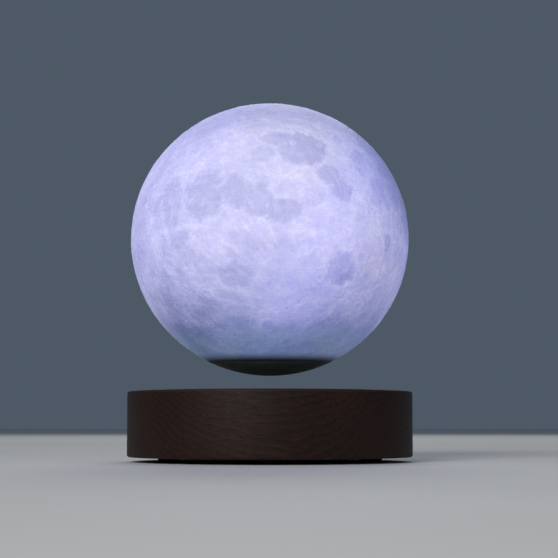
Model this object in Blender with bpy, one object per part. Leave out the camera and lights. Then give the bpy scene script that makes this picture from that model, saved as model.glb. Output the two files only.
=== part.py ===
"""A levitating lamp: a moon globe that hovers over a round wooden base.

Metres, +Z up. The origin is the centre of the base, on the surface that it stands on. The rear, with the
inlet and the push button, faces +Y. Pieces hang on the centre lines of the base, globe, inlet and button.
"""

import math

import bmesh
import bpy
from mathutils import Matrix, Vector

# The lamp as a whole
GLOBE_RADIUS = 0.0725
GLOBE_HALF_HEIGHT = 0.0710
BASE_RADIUS = 0.0735
BASE_HEIGHT = 0.0360
HOVER_GAP = 0.0082

# Fits: pieces that touch keep the seat gap, and a cut runs past the faces that it opens
SEAT_GAP = 0.0003
CUT_OVERRUN = 0.0010
MERGE_DISTANCE = 0.000001

# How many flats a turned piece has
GLOBE_FLATS = 56
BASE_FLATS = 72
RING_FLATS = 36
SMALL_FLATS = 16
SCREW_FLATS = 12
HEXAGON_FLATS = 6
SHARP_ANGLE = math.radians(35)
QUARTER_TURN = math.pi / 2

# Base shell, turned from one block of wood and open below
BASE_WALL = 0.0085
BASE_ROOF = 0.0030
BASE_EDGE_RADIUS = 0.0012
BASE_EDGE_STEPS = 3
COVER_LIP = 0.0025

# Rubber feet, glued into pockets in the bottom cover
FOOT_PROUD = 0.0025
FOOT_POCKET_DEPTH = 0.0010
FOOT_RADIUS = 0.0060
FOOT_EDGE = 0.0005
FOOT_INSET = 0.0190
FOOT_COUNT = 4

# One size of screw, in four lengths
SCREW_HEAD_RADIUS = 0.0018
SCREW_HEAD_HEIGHT = 0.0012
SCREW_SHANK_RADIUS = 0.0009
SCREW_TIP = 0.0006
SCREW_CROWN_SHARE = 0.7
SCREW_RECESS_WIDTH = 0.0005
SCREW_RECESS_LENGTH = 0.0021
SCREW_RECESS_DEPTH = 0.0006
COVER_SCREW_LENGTH = 0.0085
BOARD_SCREW_LENGTH = 0.0075
LID_SCREW_LENGTH = 0.0080
LED_SCREW_LENGTH = 0.0034

# Bottom cover, moulded with the bosses that the driver board stands on
COVER_THICKNESS = 0.0025
COVER_SCREW_EDGE = 0.0030
COVER_SCREW_COUNT = 4
BOSS_RADIUS = 0.0032

# Driver board, which lies over the inlet by the room that the inlet's wires need to turn up
BOARD_THICKNESS = 0.0016
BOARD_CLEARANCE = 0.0015
BOARD_EDGE = 0.0040
BOARD_RISE = 0.0037
BOARD_SCREW_COUNT = 4

# Ring magnet round the levitation coils, as high as the room between the board and the ferrite ring over it
MAGNET_CHAMFER = 0.0005
MAGNET_CLEARANCE = 0.0010

# Position sensors between the levitation coils, a share of the coils' height
HALL_BLOCK_SIDE = 0.0100
HALL_HEIGHT_SHARE = 0.6

# Levitation coils on their spools, which share the room round the sensors with the ring magnet
COIL_COUNT = 4
COIL_ROOM_SHARE = 0.635
SPOOL_CLEARANCE = 0.0015
SPOOL_BORE_SHARE = 0.24
SPOOL_WALL = 0.0012
SPOOL_FLANGE = 0.0010
WINDING_MARGIN = 0.0008

# Coil that feeds the globe, and the ferrite ring under it
POWER_COIL_HEIGHT = 0.0020
POWER_COIL_MARGIN = 0.0010
POWER_FERRITE_THICKNESS = 0.0010

# Capacitors and chip that hang under the driver board
CAPACITOR_RADIUS = 0.0040
CAPACITOR_CLEARANCE = 0.0030
CHIP_SIDE = 0.0070
CHIP_HEIGHT = 0.0012
UNDERSIDE_CIRCLE = 0.0300
CAPACITOR_ANGLES = (math.radians(200), math.radians(228))
CHIP_ANGLE = math.radians(160)

# Inlet for the mains adapter's plug, bolted through the rear wall
JACK_FLANGE_RADIUS = 0.0055
JACK_FLANGE_THICKNESS = 0.0012
JACK_RECESS = 0.0018
JACK_PANEL = 0.0030
JACK_BARREL_RADIUS = 0.0040
JACK_BARREL_LENGTH = 0.0125
JACK_BORE_RADIUS = 0.0028
JACK_BORE_DEPTH = 0.0100
JACK_PIN_RADIUS = 0.00105
JACK_PIN_SETBACK = 0.0010
JACK_PIN_TIP_STEPS = 2
JACK_NUT_RADIUS = 0.0062
JACK_NUT_HEIGHT = 0.0020
JACK_POCKET_CLEARANCE = 0.0010
JACK_POCKET_FLOOR = 0.0010

# The two wires from the inlet to the driver board
LEAD_RADIUS = 0.0008
LEAD_SPACING = 0.0050
LEAD_RUN = 0.0120
LEAD_BEND_SHARE = 0.6
LEAD_STEPS = 9
LEAD_RESOLUTION = 1

# Push button in a metal bezel, with the switch that it works
BUTTON_ANGLE = math.radians(66)
BUTTON_RADIUS = 0.0040
BUTTON_PROUD = 0.0008
BUTTON_EDGE = 0.0004
BUTTON_FLANGE_WIDTH = 0.0009
BUTTON_FLANGE_THICKNESS = 0.0010
BEZEL_WALL = 0.0006
BEZEL_TAIL = 0.0010
BEZEL_FLANGE_RADIUS = 0.0062
BEZEL_FLANGE_THICKNESS = 0.0012
BEZEL_EDGE = 0.0004
BEZEL_RECESS = 0.0006
SWITCH_SIDE = 0.0060
SWITCH_DEPTH = 0.0035
SWITCH_SETBACK = 0.0005
PLUNGER_RADIUS = 0.00175
PLUNGER_REACH = 0.0012
PLUNGER_SEAT = 0.0012
PLUNGER_BORE_DEPTH = 0.0025

# Moon shell, printed in one piece with a round opening at the bottom
MOON_WALL = 0.0020
MOON_UPPER_STEPS = 13
MOON_LOWER_STEPS = 9
MOON_INNER_STEPS = 11
OPENING_RADIUS = 0.0305

# Bottom cap, whose dish carries on the globe's curve
CAP_WALL = 0.0042
CAP_FLOOR = 0.0020
CAP_DISH_STEPS = 5

# Pickup coil and its ferrite ring, round the lift magnet
RECEIVER_COIL_WIDTH = 0.0048
RECEIVER_COIL_HEIGHT = 0.0030
RECEIVER_COIL_CLEARANCE = 0.0006
RECEIVER_FERRITE_THICKNESS = 0.0008
LIFT_MAGNET_HEIGHT = 0.0100
KEEPER_THICKNESS = 0.0015

# Lid of the bottom cap, and the light on it
LID_THICKNESS = 0.0020
LID_SCREW_COUNT = 3
LED_BOARD_THICKNESS = 0.0016
LED_BOARD_EDGE = 0.0015
LED_COUNT = 4
LED_SIDE = 0.0035
LED_HEIGHT = 0.0019
LED_CHAMFER = 0.0006
LED_CLEARANCE = 0.0005
LED_SCREW_COUNT = 2
DIFFUSER_RADIUS = 0.0100
DIFFUSER_WALL = 0.0012
DIFFUSER_SKIRT = 0.0020
DIFFUSER_STEPS = 5
FITTING_CLEARANCE = 0.0010
SMOOTHING_CAPACITOR_RADIUS = 0.0025
SMOOTHING_CAPACITOR_HEIGHT = 0.0060
CAPACITOR_EDGE = 0.0004

# Finishes: red, green and blue, then roughness and metallic
WALNUT = ((0.060, 0.030, 0.018), 0.55, 0.0)
BLACK_ABS = ((0.018, 0.018, 0.020), 0.50, 0.0)
RUBBER = ((0.015, 0.015, 0.015), 0.85, 0.0)
ZINC_STEEL = ((0.45, 0.45, 0.44), 0.35, 1.0)
BOARD_GREEN = ((0.020, 0.130, 0.060), 0.45, 0.0)
FERRITE = ((0.045, 0.045, 0.050), 0.60, 0.0)
NICKEL = ((0.62, 0.61, 0.58), 0.22, 1.0)
COPPER_WIRE = ((0.640, 0.230, 0.100), 0.30, 1.0)
WHITE_NYLON = ((0.720, 0.700, 0.650), 0.50, 0.0)
CHIP_EPOXY = ((0.020, 0.020, 0.022), 0.40, 0.0)
CAPACITOR_SLEEVE = ((0.030, 0.035, 0.060), 0.35, 0.0)
RED_PVC = ((0.500, 0.020, 0.015), 0.45, 0.0)
BLACK_PVC = ((0.015, 0.015, 0.015), 0.45, 0.0)
ALUMINIUM = ((0.72, 0.72, 0.73), 0.30, 1.0)
MOON_PLA = ((0.780, 0.770, 0.840), 0.60, 0.0)
CAP_ABS = ((0.050, 0.048, 0.042), 0.60, 0.0)
FROSTED_CAP = ((0.850, 0.850, 0.850), 0.70, 0.0)
LED_PHOSPHOR = ((0.850, 0.800, 0.350), 0.40, 0.0)


def clear_scene():
    """Takes out whatever the file was opened with."""
    for thing in list(bpy.data.objects):
        bpy.data.objects.remove(thing, do_unlink=True)


def centre_line(name, place, direction=(0, 0, 1)):
    """An empty whose Z runs along direction. Pieces that share a centre line hang on it."""
    line = bpy.data.objects.new(name, None)
    line.location = place
    line.rotation_euler = Vector((0, 0, 1)).rotation_difference(Vector(direction)).to_euler()
    bpy.context.collection.objects.link(line)
    return line


def add_piece(name, shape, finish, line, place=(0, 0, 0), turn=0.0):
    """Makes a named object from a shape, with its own material, smooth where it is round."""
    bmesh.ops.recalc_face_normals(shape, faces=shape.faces)
    mesh = bpy.data.meshes.new(name)
    shape.to_mesh(mesh)
    shape.free()
    mesh.shade_smooth()
    mesh.set_sharp_from_angle(angle=SHARP_ANGLE)
    colour, roughness, metallic = finish
    material = bpy.data.materials.new(name)
    material.use_nodes = True
    shader = material.node_tree.nodes["Principled BSDF"]
    shader.inputs["Base Color"].default_value = (*colour, 1)
    shader.inputs["Roughness"].default_value = roughness
    shader.inputs["Metallic"].default_value = metallic
    mesh.materials.append(material)
    piece = bpy.data.objects.new(name, mesh)
    piece.location = place
    piece.rotation_euler.z = turn
    piece.parent = line
    bpy.context.collection.objects.link(piece)
    return piece


def turned(outline, flats):
    """A body turned about Z from (radius, height) points. One that starts off the axis closes on itself."""
    shape = bmesh.new()
    points = [shape.verts.new((radius, 0, height)) for radius, height in outline]
    runs = list(zip(points, points[1:]))
    if outline[0][0] > 0:
        runs.append((points[-1], points[0]))
    edges = [shape.edges.new(run) for run in runs]
    axis = {"axis": (0, 0, 1), "cent": (0, 0, 0)}
    bmesh.ops.spin(shape, geom=points + edges, steps=flats, angle=math.tau, use_merge=True, **axis)
    bmesh.ops.remove_doubles(shape, verts=shape.verts, dist=MERGE_DISTANCE)
    return shape


def disc(radius, bottom, top, flats, chamfer=0.0):
    """A round plate, its rims chamfered where a chamfer is given."""
    if not chamfer:
        return turned([(0, top), (radius, top), (radius, bottom), (0, bottom)], flats)
    outline = [
        (0, top),
        (radius - chamfer, top),
        (radius, top - chamfer),
        (radius, bottom + chamfer),
        (radius - chamfer, bottom),
        (0, bottom),
    ]
    return turned(outline, flats)


def ring(outer, inner, bottom, top, flats):
    """A flat ring."""
    return turned([(outer, top), (outer, bottom), (inner, bottom), (inner, top)], flats)


def block(width, depth, bottom, top, chamfer=0.0):
    """A rectangular body centred on Z, with a chamfered top where a chamfer is given."""
    shape = bmesh.new()
    bmesh.ops.create_cube(shape, size=1)
    bmesh.ops.scale(shape, vec=(width, depth, top - bottom), verts=shape.verts)
    bmesh.ops.translate(shape, vec=(0, 0, (top + bottom) / 2), verts=shape.verts)
    if chamfer:
        rim = [edge for edge in shape.edges if all(vert.co.z > bottom + chamfer for vert in edge.verts)]
        bmesh.ops.bevel(shape, geom=rim, offset=chamfer, segments=1, affect="EDGES")
    return shape


def arc(centre, radius, start, end, steps):
    """Points of an arc in an outline, from one angle to another."""
    angles = [start + (end - start) * step / steps for step in range(steps + 1)]
    return [(centre[0] + radius * math.cos(angle), centre[1] + radius * math.sin(angle)) for angle in angles]


def oval_arc(radius, half_height, start, end, steps):
    """Points of the globe's oval outline about its own centre, from one angle to another."""
    angles = [start + (end - start) * step / steps for step in range(steps + 1)]
    return [(radius * math.cos(angle), half_height * math.sin(angle)) for angle in angles]


def on_circle(radius, angle, height=0.0):
    """A place on a circle about Z."""
    return (radius * math.cos(angle), radius * math.sin(angle), height)


def angles_round(count, first=0.0):
    """Evenly spaced angles round a full turn."""
    return [first + math.tau * index / count for index in range(count)]


def cut(piece, name, shape, line, place=(0, 0, 0)):
    """Cuts a shape out of a piece with a Boolean, and keeps the cutter as a wire guide."""
    bmesh.ops.recalc_face_normals(shape, faces=shape.faces)
    mesh = bpy.data.meshes.new(name)
    shape.to_mesh(mesh)
    shape.free()
    cutter = bpy.data.objects.new(name, mesh)
    cutter.location = place
    cutter.parent = line
    cutter.display_type = "WIRE"
    cutter.hide_render = True
    bpy.context.collection.objects.link(cutter)
    boolean = piece.modifiers.new(name, "BOOLEAN")
    boolean.operation = "DIFFERENCE"
    boolean.solver = "EXACT"
    boolean.object = cutter


def screw_shape(length):
    """A pan-head screw whose origin is under its head, with its shank down -Z."""
    outline = [
        (0, SCREW_HEAD_HEIGHT),
        (SCREW_HEAD_RADIUS * SCREW_CROWN_SHARE, SCREW_HEAD_HEIGHT),
        (SCREW_HEAD_RADIUS, SCREW_HEAD_HEIGHT * (1 - SCREW_CROWN_SHARE)),
        (SCREW_HEAD_RADIUS, 0),
        (SCREW_SHANK_RADIUS, 0),
        (SCREW_SHANK_RADIUS, SCREW_TIP - length),
        (0, -length),
    ]
    return turned(outline, SCREW_FLATS)


def cross_shape():
    """The cross that the driver's blade fits, cut into a screw's head."""
    half, reach = SCREW_RECESS_WIDTH / 2, SCREW_RECESS_LENGTH / 2
    corner = [(half, reach), (half, half), (reach, half), (reach, -half), (half, -half), (half, -reach)]
    outline = corner + [(-x, -y) for x, y in corner]
    shape = bmesh.new()
    bottom = SCREW_HEAD_HEIGHT - SCREW_RECESS_DEPTH
    floor = shape.faces.new([shape.verts.new((x, y, bottom)) for x, y in outline])
    raised = bmesh.ops.extrude_face_region(shape, geom=[floor])["geom"]
    corners = [item for item in raised if isinstance(item, bmesh.types.BMVert)]
    bmesh.ops.translate(shape, vec=(0, 0, SCREW_RECESS_DEPTH + CUT_OVERRUN), verts=corners)
    return shape


def stepped(outline, flats=SCREW_FLATS):
    """A round body with steps, turned by half a flat so that its corners miss those of what it cuts."""
    shape = turned([(0, outline[0][1])] + outline + [(0, outline[-1][1])], flats)
    half_flat = Matrix.Rotation(math.pi / flats, 3, "Z")
    bmesh.ops.rotate(shape, cent=(0, 0, 0), matrix=half_flat, verts=shape.verts)
    return shape


def cylinder(radius, bottom, top, flats=SCREW_FLATS):
    """A plain round body, for a hole or a boss."""
    return stepped([(radius, top), (radius, bottom)], flats)


# Heights in the base, from the surface up
cover_bottom = FOOT_PROUD
cover_top = cover_bottom + COVER_THICKNESS
jack_pocket_radius = JACK_NUT_RADIUS + JACK_POCKET_CLEARANCE
jack_height = cover_top + SEAT_GAP + JACK_POCKET_FLOOR + jack_pocket_radius
board_bottom = jack_height + BOARD_RISE
board_top = board_bottom + BOARD_THICKNESS
boss_top = board_bottom - SEAT_GAP
bias_magnet_bottom = board_top + SEAT_GAP

# Heights in the base, from the roof down
ceiling = BASE_HEIGHT - BASE_ROOF
power_coil_top = ceiling - SEAT_GAP
power_coil_bottom = power_coil_top - POWER_COIL_HEIGHT
power_ferrite_top = power_coil_bottom - SEAT_GAP
power_ferrite_bottom = power_ferrite_top - POWER_FERRITE_THICKNESS
bias_magnet_top = power_ferrite_bottom - SEAT_GAP

# Radii in the base, from the wall inwards
base_inner_radius = BASE_RADIUS - BASE_WALL
rebate_radius = BASE_RADIUS - COVER_LIP
cover_radius = rebate_radius - SEAT_GAP
cover_screw_circle = cover_radius - COVER_SCREW_EDGE
foot_circle = cover_radius - FOOT_INSET
jack_seat_radius = BASE_RADIUS - JACK_RECESS
board_radius = jack_seat_radius - JACK_BARREL_LENGTH - BOARD_CLEARANCE
boss_circle = board_radius - BOARD_EDGE
bias_outer_radius = boss_circle - SCREW_HEAD_RADIUS - MAGNET_CLEARANCE
screw_hole_radius = SCREW_SHANK_RADIUS + SEAT_GAP

# The levitation coils and the ring magnet fill the room round the sensors
hall_block_reach = HALL_BLOCK_SIDE * math.sqrt(2) / 2
coil_room = (bias_outer_radius - hall_block_reach) * COIL_ROOM_SHARE
bias_inner_radius = hall_block_reach + coil_room
spool_radius = coil_room / 2 - SPOOL_CLEARANCE
spool_bore_radius = spool_radius * SPOOL_BORE_SHARE
spool_circle = hall_block_reach + SPOOL_CLEARANCE + spool_radius
spool_bottom = board_top + SEAT_GAP
spool_top = ceiling - SEAT_GAP

# Heights in the globe, from its centre
globe_centre = BASE_HEIGHT + HOVER_GAP + GLOBE_HALF_HEIGHT
cap_outer_radius = OPENING_RADIUS - SEAT_GAP
cap_inner_radius = cap_outer_radius - CAP_WALL
coil_outer_radius = cap_inner_radius - SEAT_GAP
coil_inner_radius = coil_outer_radius - RECEIVER_COIL_WIDTH
magnet_seat_radius = coil_inner_radius - RECEIVER_COIL_CLEARANCE
magnet_radius = magnet_seat_radius - SEAT_GAP


def dish_height(radius):
    """Height of the globe's underside at a radius, from the globe's centre."""
    return -GLOBE_HALF_HEIGHT * math.sqrt(1 - (radius / GLOBE_RADIUS) ** 2)


coil_floor = dish_height(cap_inner_radius) + CAP_FLOOR
magnet_floor = dish_height(magnet_seat_radius) + CAP_FLOOR
magnet_bottom = magnet_floor + SEAT_GAP
magnet_top = magnet_bottom + LIFT_MAGNET_HEIGHT
keeper_bottom = magnet_top + SEAT_GAP
cap_rim = keeper_bottom + KEEPER_THICKNESS
lid_bottom = cap_rim + SEAT_GAP
lid_top = lid_bottom + LID_THICKNESS
led_board_bottom = lid_top + SEAT_GAP
led_board_top = led_board_bottom + LED_BOARD_THICKNESS


def build_base_shell(base_line, jack_line, button_line):
    """The wooden shell: roof and wall in one, a rebate for the cover, and holes for what goes through."""
    bend = BASE_EDGE_RADIUS
    top_edge = arc((BASE_RADIUS - bend, BASE_HEIGHT - bend), bend, QUARTER_TURN, 0, BASE_EDGE_STEPS)
    low_edge = arc((BASE_RADIUS - bend, cover_bottom + bend), bend, 0, -QUARTER_TURN, BASE_EDGE_STEPS)
    outline = [(0, BASE_HEIGHT)] + top_edge + low_edge + [
        (rebate_radius, cover_bottom),
        (rebate_radius, cover_top + SEAT_GAP),
        (base_inner_radius, cover_top + SEAT_GAP),
        (base_inner_radius, ceiling),
        (0, ceiling),
    ]
    shell = add_piece("base_shell", turned(outline, BASE_FLATS), WALNUT, base_line)
    inner_end = -BASE_WALL - CUT_OVERRUN
    way_in = [
        (JACK_FLANGE_RADIUS + SEAT_GAP, JACK_RECESS + CUT_OVERRUN),
        (JACK_FLANGE_RADIUS + SEAT_GAP, 0),
        (JACK_BARREL_RADIUS + SEAT_GAP, 0),
        (JACK_BARREL_RADIUS + SEAT_GAP, -JACK_PANEL),
        (jack_pocket_radius, -JACK_PANEL),
        (jack_pocket_radius, inner_end),
    ]
    cut(shell, "jack_way", stepped(way_in, SMALL_FLATS), jack_line)
    way_in = [
        (BEZEL_FLANGE_RADIUS + SEAT_GAP, CUT_OVERRUN),
        (BEZEL_FLANGE_RADIUS + SEAT_GAP, -BEZEL_RECESS),
        (bezel_outer_radius() + SEAT_GAP, -BEZEL_RECESS),
        (bezel_outer_radius() + SEAT_GAP, inner_end),
    ]
    cut(shell, "bezel_way", stepped(way_in, SMALL_FLATS), button_line)
    pilot_end = cover_screw_seat() + COVER_SCREW_LENGTH + SEAT_GAP
    for number, angle in enumerate(angles_round(COVER_SCREW_COUNT, QUARTER_TURN / 2), 1):
        pilot = cylinder(screw_hole_radius, cover_top - CUT_OVERRUN, pilot_end)
        cut(shell, f"cover_screw_pilot_{number}", pilot, base_line, on_circle(cover_screw_circle, angle))


def cover_screw_seat():
    """Height of the face in the bottom cover that a cover screw's head bears on."""
    return cover_bottom + SCREW_HEAD_HEIGHT + SEAT_GAP


def build_bottom_cover(base_line):
    """The cover that closes the base, with bosses for the driver board and pockets for the feet."""
    plate = disc(cover_radius, cover_bottom, cover_top, BASE_FLATS)
    cover = add_piece("bottom_cover", plate, BLACK_ABS, base_line)
    board_pilot_end = board_screw_seat() - BOARD_SCREW_LENGTH - SEAT_GAP
    for number, angle in enumerate(angles_round(BOARD_SCREW_COUNT, QUARTER_TURN / 2), 1):
        boss = cylinder(BOSS_RADIUS, cover_bottom + CUT_OVERRUN, boss_top, SMALL_FLATS)
        join(cover, f"boss_{number}", boss, base_line, on_circle(boss_circle, angle))
        pilot = cylinder(screw_hole_radius, board_pilot_end, boss_top + CUT_OVERRUN)
        cut(cover, f"boss_pilot_{number}", pilot, base_line, on_circle(boss_circle, angle))
    for number, angle in enumerate(angles_round(COVER_SCREW_COUNT, QUARTER_TURN / 2), 1):
        hole = [
            (screw_hole_radius, cover_top + CUT_OVERRUN),
            (screw_hole_radius, cover_screw_seat()),
            (SCREW_HEAD_RADIUS + SEAT_GAP, cover_screw_seat()),
            (SCREW_HEAD_RADIUS + SEAT_GAP, cover_bottom - CUT_OVERRUN),
        ]
        place = on_circle(cover_screw_circle, angle)
        cut(cover, f"cover_screw_hole_{number}", stepped(hole), base_line, place)
        seat = on_circle(cover_screw_circle, angle, cover_screw_seat())
        screw_line = centre_line(f"cover_screw_line_{number}", seat, (0, 0, -1))
        screw = add_piece(f"cover_screw_{number}", screw_shape(COVER_SCREW_LENGTH), ZINC_STEEL, screw_line)
        cut(screw, f"cover_screw_cross_{number}", cross_shape(), screw_line)
    for number, angle in enumerate(angles_round(FOOT_COUNT), 1):
        pocket_top = cover_bottom + FOOT_POCKET_DEPTH
        pocket = cylinder(FOOT_RADIUS + SEAT_GAP, cover_bottom - CUT_OVERRUN, pocket_top, SMALL_FLATS)
        cut(cover, f"foot_pocket_{number}", pocket, base_line, on_circle(foot_circle, angle))
        foot = disc(FOOT_RADIUS, 0, pocket_top - SEAT_GAP, SMALL_FLATS, FOOT_EDGE)
        add_piece(f"rubber_foot_{number}", foot, RUBBER, base_line, on_circle(foot_circle, angle))


def join(piece, name, shape, line, place=(0, 0, 0)):
    """Joins a shape to a piece with a Boolean, and keeps it as a wire guide."""
    cut(piece, name, shape, line, place)
    piece.modifiers[name].operation = "UNION"


def board_screw_seat():
    """Height of the underside of a board screw's head."""
    return board_top + SEAT_GAP


def build_driver_board(base_line):
    """The round board on the bosses, with its screws and the parts that hang under it."""
    plate = disc(board_radius, board_bottom, board_top, RING_FLATS)
    board = add_piece("driver_board", plate, BOARD_GREEN, base_line)
    for number, angle in enumerate(angles_round(BOARD_SCREW_COUNT, QUARTER_TURN / 2), 1):
        hole = cylinder(screw_hole_radius, board_bottom - CUT_OVERRUN, board_top + CUT_OVERRUN)
        cut(board, f"board_screw_hole_{number}", hole, base_line, on_circle(boss_circle, angle))
        seat = on_circle(boss_circle, angle, board_screw_seat())
        add_piece(f"board_screw_{number}", screw_shape(BOARD_SCREW_LENGTH), ZINC_STEEL, base_line, seat)
    can_bottom = cover_top + CAPACITOR_CLEARANCE
    for number, angle in enumerate(CAPACITOR_ANGLES, 1):
        can = disc(CAPACITOR_RADIUS, can_bottom, board_bottom - SEAT_GAP, SMALL_FLATS, CAPACITOR_EDGE)
        place = on_circle(UNDERSIDE_CIRCLE, angle)
        add_piece(f"driver_capacitor_{number}", can, CAPACITOR_SLEEVE, base_line, place)
    chip_top = board_bottom - SEAT_GAP
    chip = block(CHIP_SIDE, CHIP_SIDE, chip_top - CHIP_HEIGHT, chip_top)
    add_piece("driver_chip", chip, CHIP_EPOXY, base_line, on_circle(UNDERSIDE_CIRCLE, CHIP_ANGLE), CHIP_ANGLE)


def build_levitation_drive(base_line):
    """Ring magnet, four coils on spools and the position sensors, all on the driver board."""
    outline = [
        (bias_outer_radius - MAGNET_CHAMFER, bias_magnet_top),
        (bias_outer_radius, bias_magnet_top - MAGNET_CHAMFER),
        (bias_outer_radius, bias_magnet_bottom),
        (bias_inner_radius, bias_magnet_bottom),
        (bias_inner_radius, bias_magnet_top),
    ]
    add_piece("bias_magnet", turned(outline, RING_FLATS), FERRITE, base_line)
    core_radius = spool_bore_radius + SPOOL_WALL
    spool = [
        (spool_radius, spool_top),
        (spool_radius, spool_top - SPOOL_FLANGE),
        (core_radius, spool_top - SPOOL_FLANGE),
        (core_radius, spool_bottom + SPOOL_FLANGE),
        (spool_radius, spool_bottom + SPOOL_FLANGE),
        (spool_radius, spool_bottom),
        (spool_bore_radius, spool_bottom),
        (spool_bore_radius, spool_top),
    ]
    winding_bottom = spool_bottom + SPOOL_FLANGE + SEAT_GAP
    winding_top = spool_top - SPOOL_FLANGE - SEAT_GAP
    winding_outer, winding_inner = spool_radius - WINDING_MARGIN, core_radius + SEAT_GAP
    for number, angle in enumerate(angles_round(COIL_COUNT), 1):
        place = on_circle(spool_circle, angle)
        add_piece(f"coil_spool_{number}", turned(spool, SMALL_FLATS), WHITE_NYLON, base_line, place)
        winding = ring(winding_outer, winding_inner, winding_bottom, winding_top, SMALL_FLATS)
        add_piece(f"coil_winding_{number}", winding, COPPER_WIRE, base_line, place)
    sensor_top = spool_bottom + (spool_top - spool_bottom) * HALL_HEIGHT_SHARE
    sensors = block(HALL_BLOCK_SIDE, HALL_BLOCK_SIDE, spool_bottom, sensor_top)
    add_piece("hall_sensor_block", sensors, CHIP_EPOXY, base_line, turn=QUARTER_TURN / 2)


def build_power_coil(base_line):
    """The flat coil under the roof that feeds the globe, on a ferrite ring that rests on the ring magnet."""
    ferrite = ring(bias_outer_radius, bias_inner_radius, power_ferrite_bottom, power_ferrite_top, RING_FLATS)
    add_piece("power_ferrite", ferrite, FERRITE, base_line)
    outer = bias_outer_radius - POWER_COIL_MARGIN
    inner = bias_inner_radius + POWER_COIL_MARGIN
    coil = ring(outer, inner, power_coil_bottom, power_coil_top, RING_FLATS)
    add_piece("power_coil", coil, COPPER_WIRE, base_line)


def build_inlet(jack_line):
    """The round inlet: a flanged barrel through the wall, its centre pin and the nut inside."""
    face = SEAT_GAP + JACK_FLANGE_THICKNESS
    pin_hole_radius = JACK_PIN_RADIUS + SEAT_GAP
    outline = [
        (JACK_FLANGE_RADIUS, face),
        (JACK_FLANGE_RADIUS, SEAT_GAP),
        (JACK_BARREL_RADIUS, SEAT_GAP),
        (JACK_BARREL_RADIUS, -JACK_BARREL_LENGTH),
        (pin_hole_radius, -JACK_BARREL_LENGTH),
        (pin_hole_radius, face - JACK_BORE_DEPTH),
        (JACK_BORE_RADIUS, face - JACK_BORE_DEPTH),
        (JACK_BORE_RADIUS, face),
    ]
    add_piece("dc_jack", turned(outline, SMALL_FLATS), BLACK_ABS, jack_line)
    tip = face - JACK_PIN_SETBACK
    pin_tip = arc((0, tip - JACK_PIN_RADIUS), JACK_PIN_RADIUS, QUARTER_TURN, 0, JACK_PIN_TIP_STEPS)
    pin = [(0, tip)] + pin_tip[1:]
    pin += [(JACK_PIN_RADIUS, -JACK_BARREL_LENGTH), (0, -JACK_BARREL_LENGTH)]
    add_piece("dc_jack_pin", turned(pin, SCREW_FLATS), NICKEL, jack_line)
    nut_top = -JACK_PANEL - SEAT_GAP
    nut_bottom = nut_top - JACK_NUT_HEIGHT
    hexagon = disc(JACK_NUT_RADIUS, nut_bottom, nut_top, HEXAGON_FLATS)
    nut = add_piece("dc_jack_nut", hexagon, NICKEL, jack_line)
    bore_radius = JACK_BARREL_RADIUS + SEAT_GAP
    bore = cylinder(bore_radius, nut_bottom - CUT_OVERRUN, nut_top + CUT_OVERRUN, SMALL_FLATS)
    cut(nut, "jack_nut_bore", bore, jack_line)


def build_leads(base_line):
    """Two insulated wires that leave the inlet's inner end level and turn up to the driver board."""
    start_y = jack_seat_radius - JACK_BARREL_LENGTH - SEAT_GAP
    end_y = start_y - LEAD_RUN
    end_z = board_bottom - SEAT_GAP
    sides = (("jack_lead_plus", 1, RED_PVC), ("jack_lead_minus", -1, BLACK_PVC))
    for name, side, finish in sides:
        x = side * LEAD_SPACING / 2
        start, end = Vector((x, start_y, jack_height)), Vector((x, end_y, end_z))
        first_bend = start - Vector((0, LEAD_RUN * LEAD_BEND_SHARE, 0))
        last_bend = end - Vector((0, 0, (end_z - jack_height) * LEAD_BEND_SHARE))
        curve = bpy.data.curves.new(name, "CURVE")
        curve.dimensions = "3D"
        curve.bevel_depth = LEAD_RADIUS
        curve.bevel_resolution = LEAD_RESOLUTION
        curve.use_fill_caps = True
        spline = curve.splines.new("POLY")
        spline.points.add(LEAD_STEPS)
        for index, point in enumerate(spline.points):
            share = index / LEAD_STEPS
            rest = 1 - share
            place = (
                start * rest**3
                + first_bend * 3 * rest**2 * share
                + last_bend * 3 * rest * share**2
                + end * share**3
            )
            point.co = (*place, 1)
        material = bpy.data.materials.new(name)
        material.use_nodes = True
        shader = material.node_tree.nodes["Principled BSDF"]
        shader.inputs["Base Color"].default_value = (*finish[0], 1)
        shader.inputs["Roughness"].default_value = finish[1]
        curve.materials.append(material)
        lead = bpy.data.objects.new(name, curve)
        lead.parent = base_line
        bpy.context.collection.objects.link(lead)


def bezel_outer_radius():
    """Radius of the bezel's sleeve, which the button slides in."""
    return BUTTON_RADIUS + SEAT_GAP + BEZEL_WALL


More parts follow.
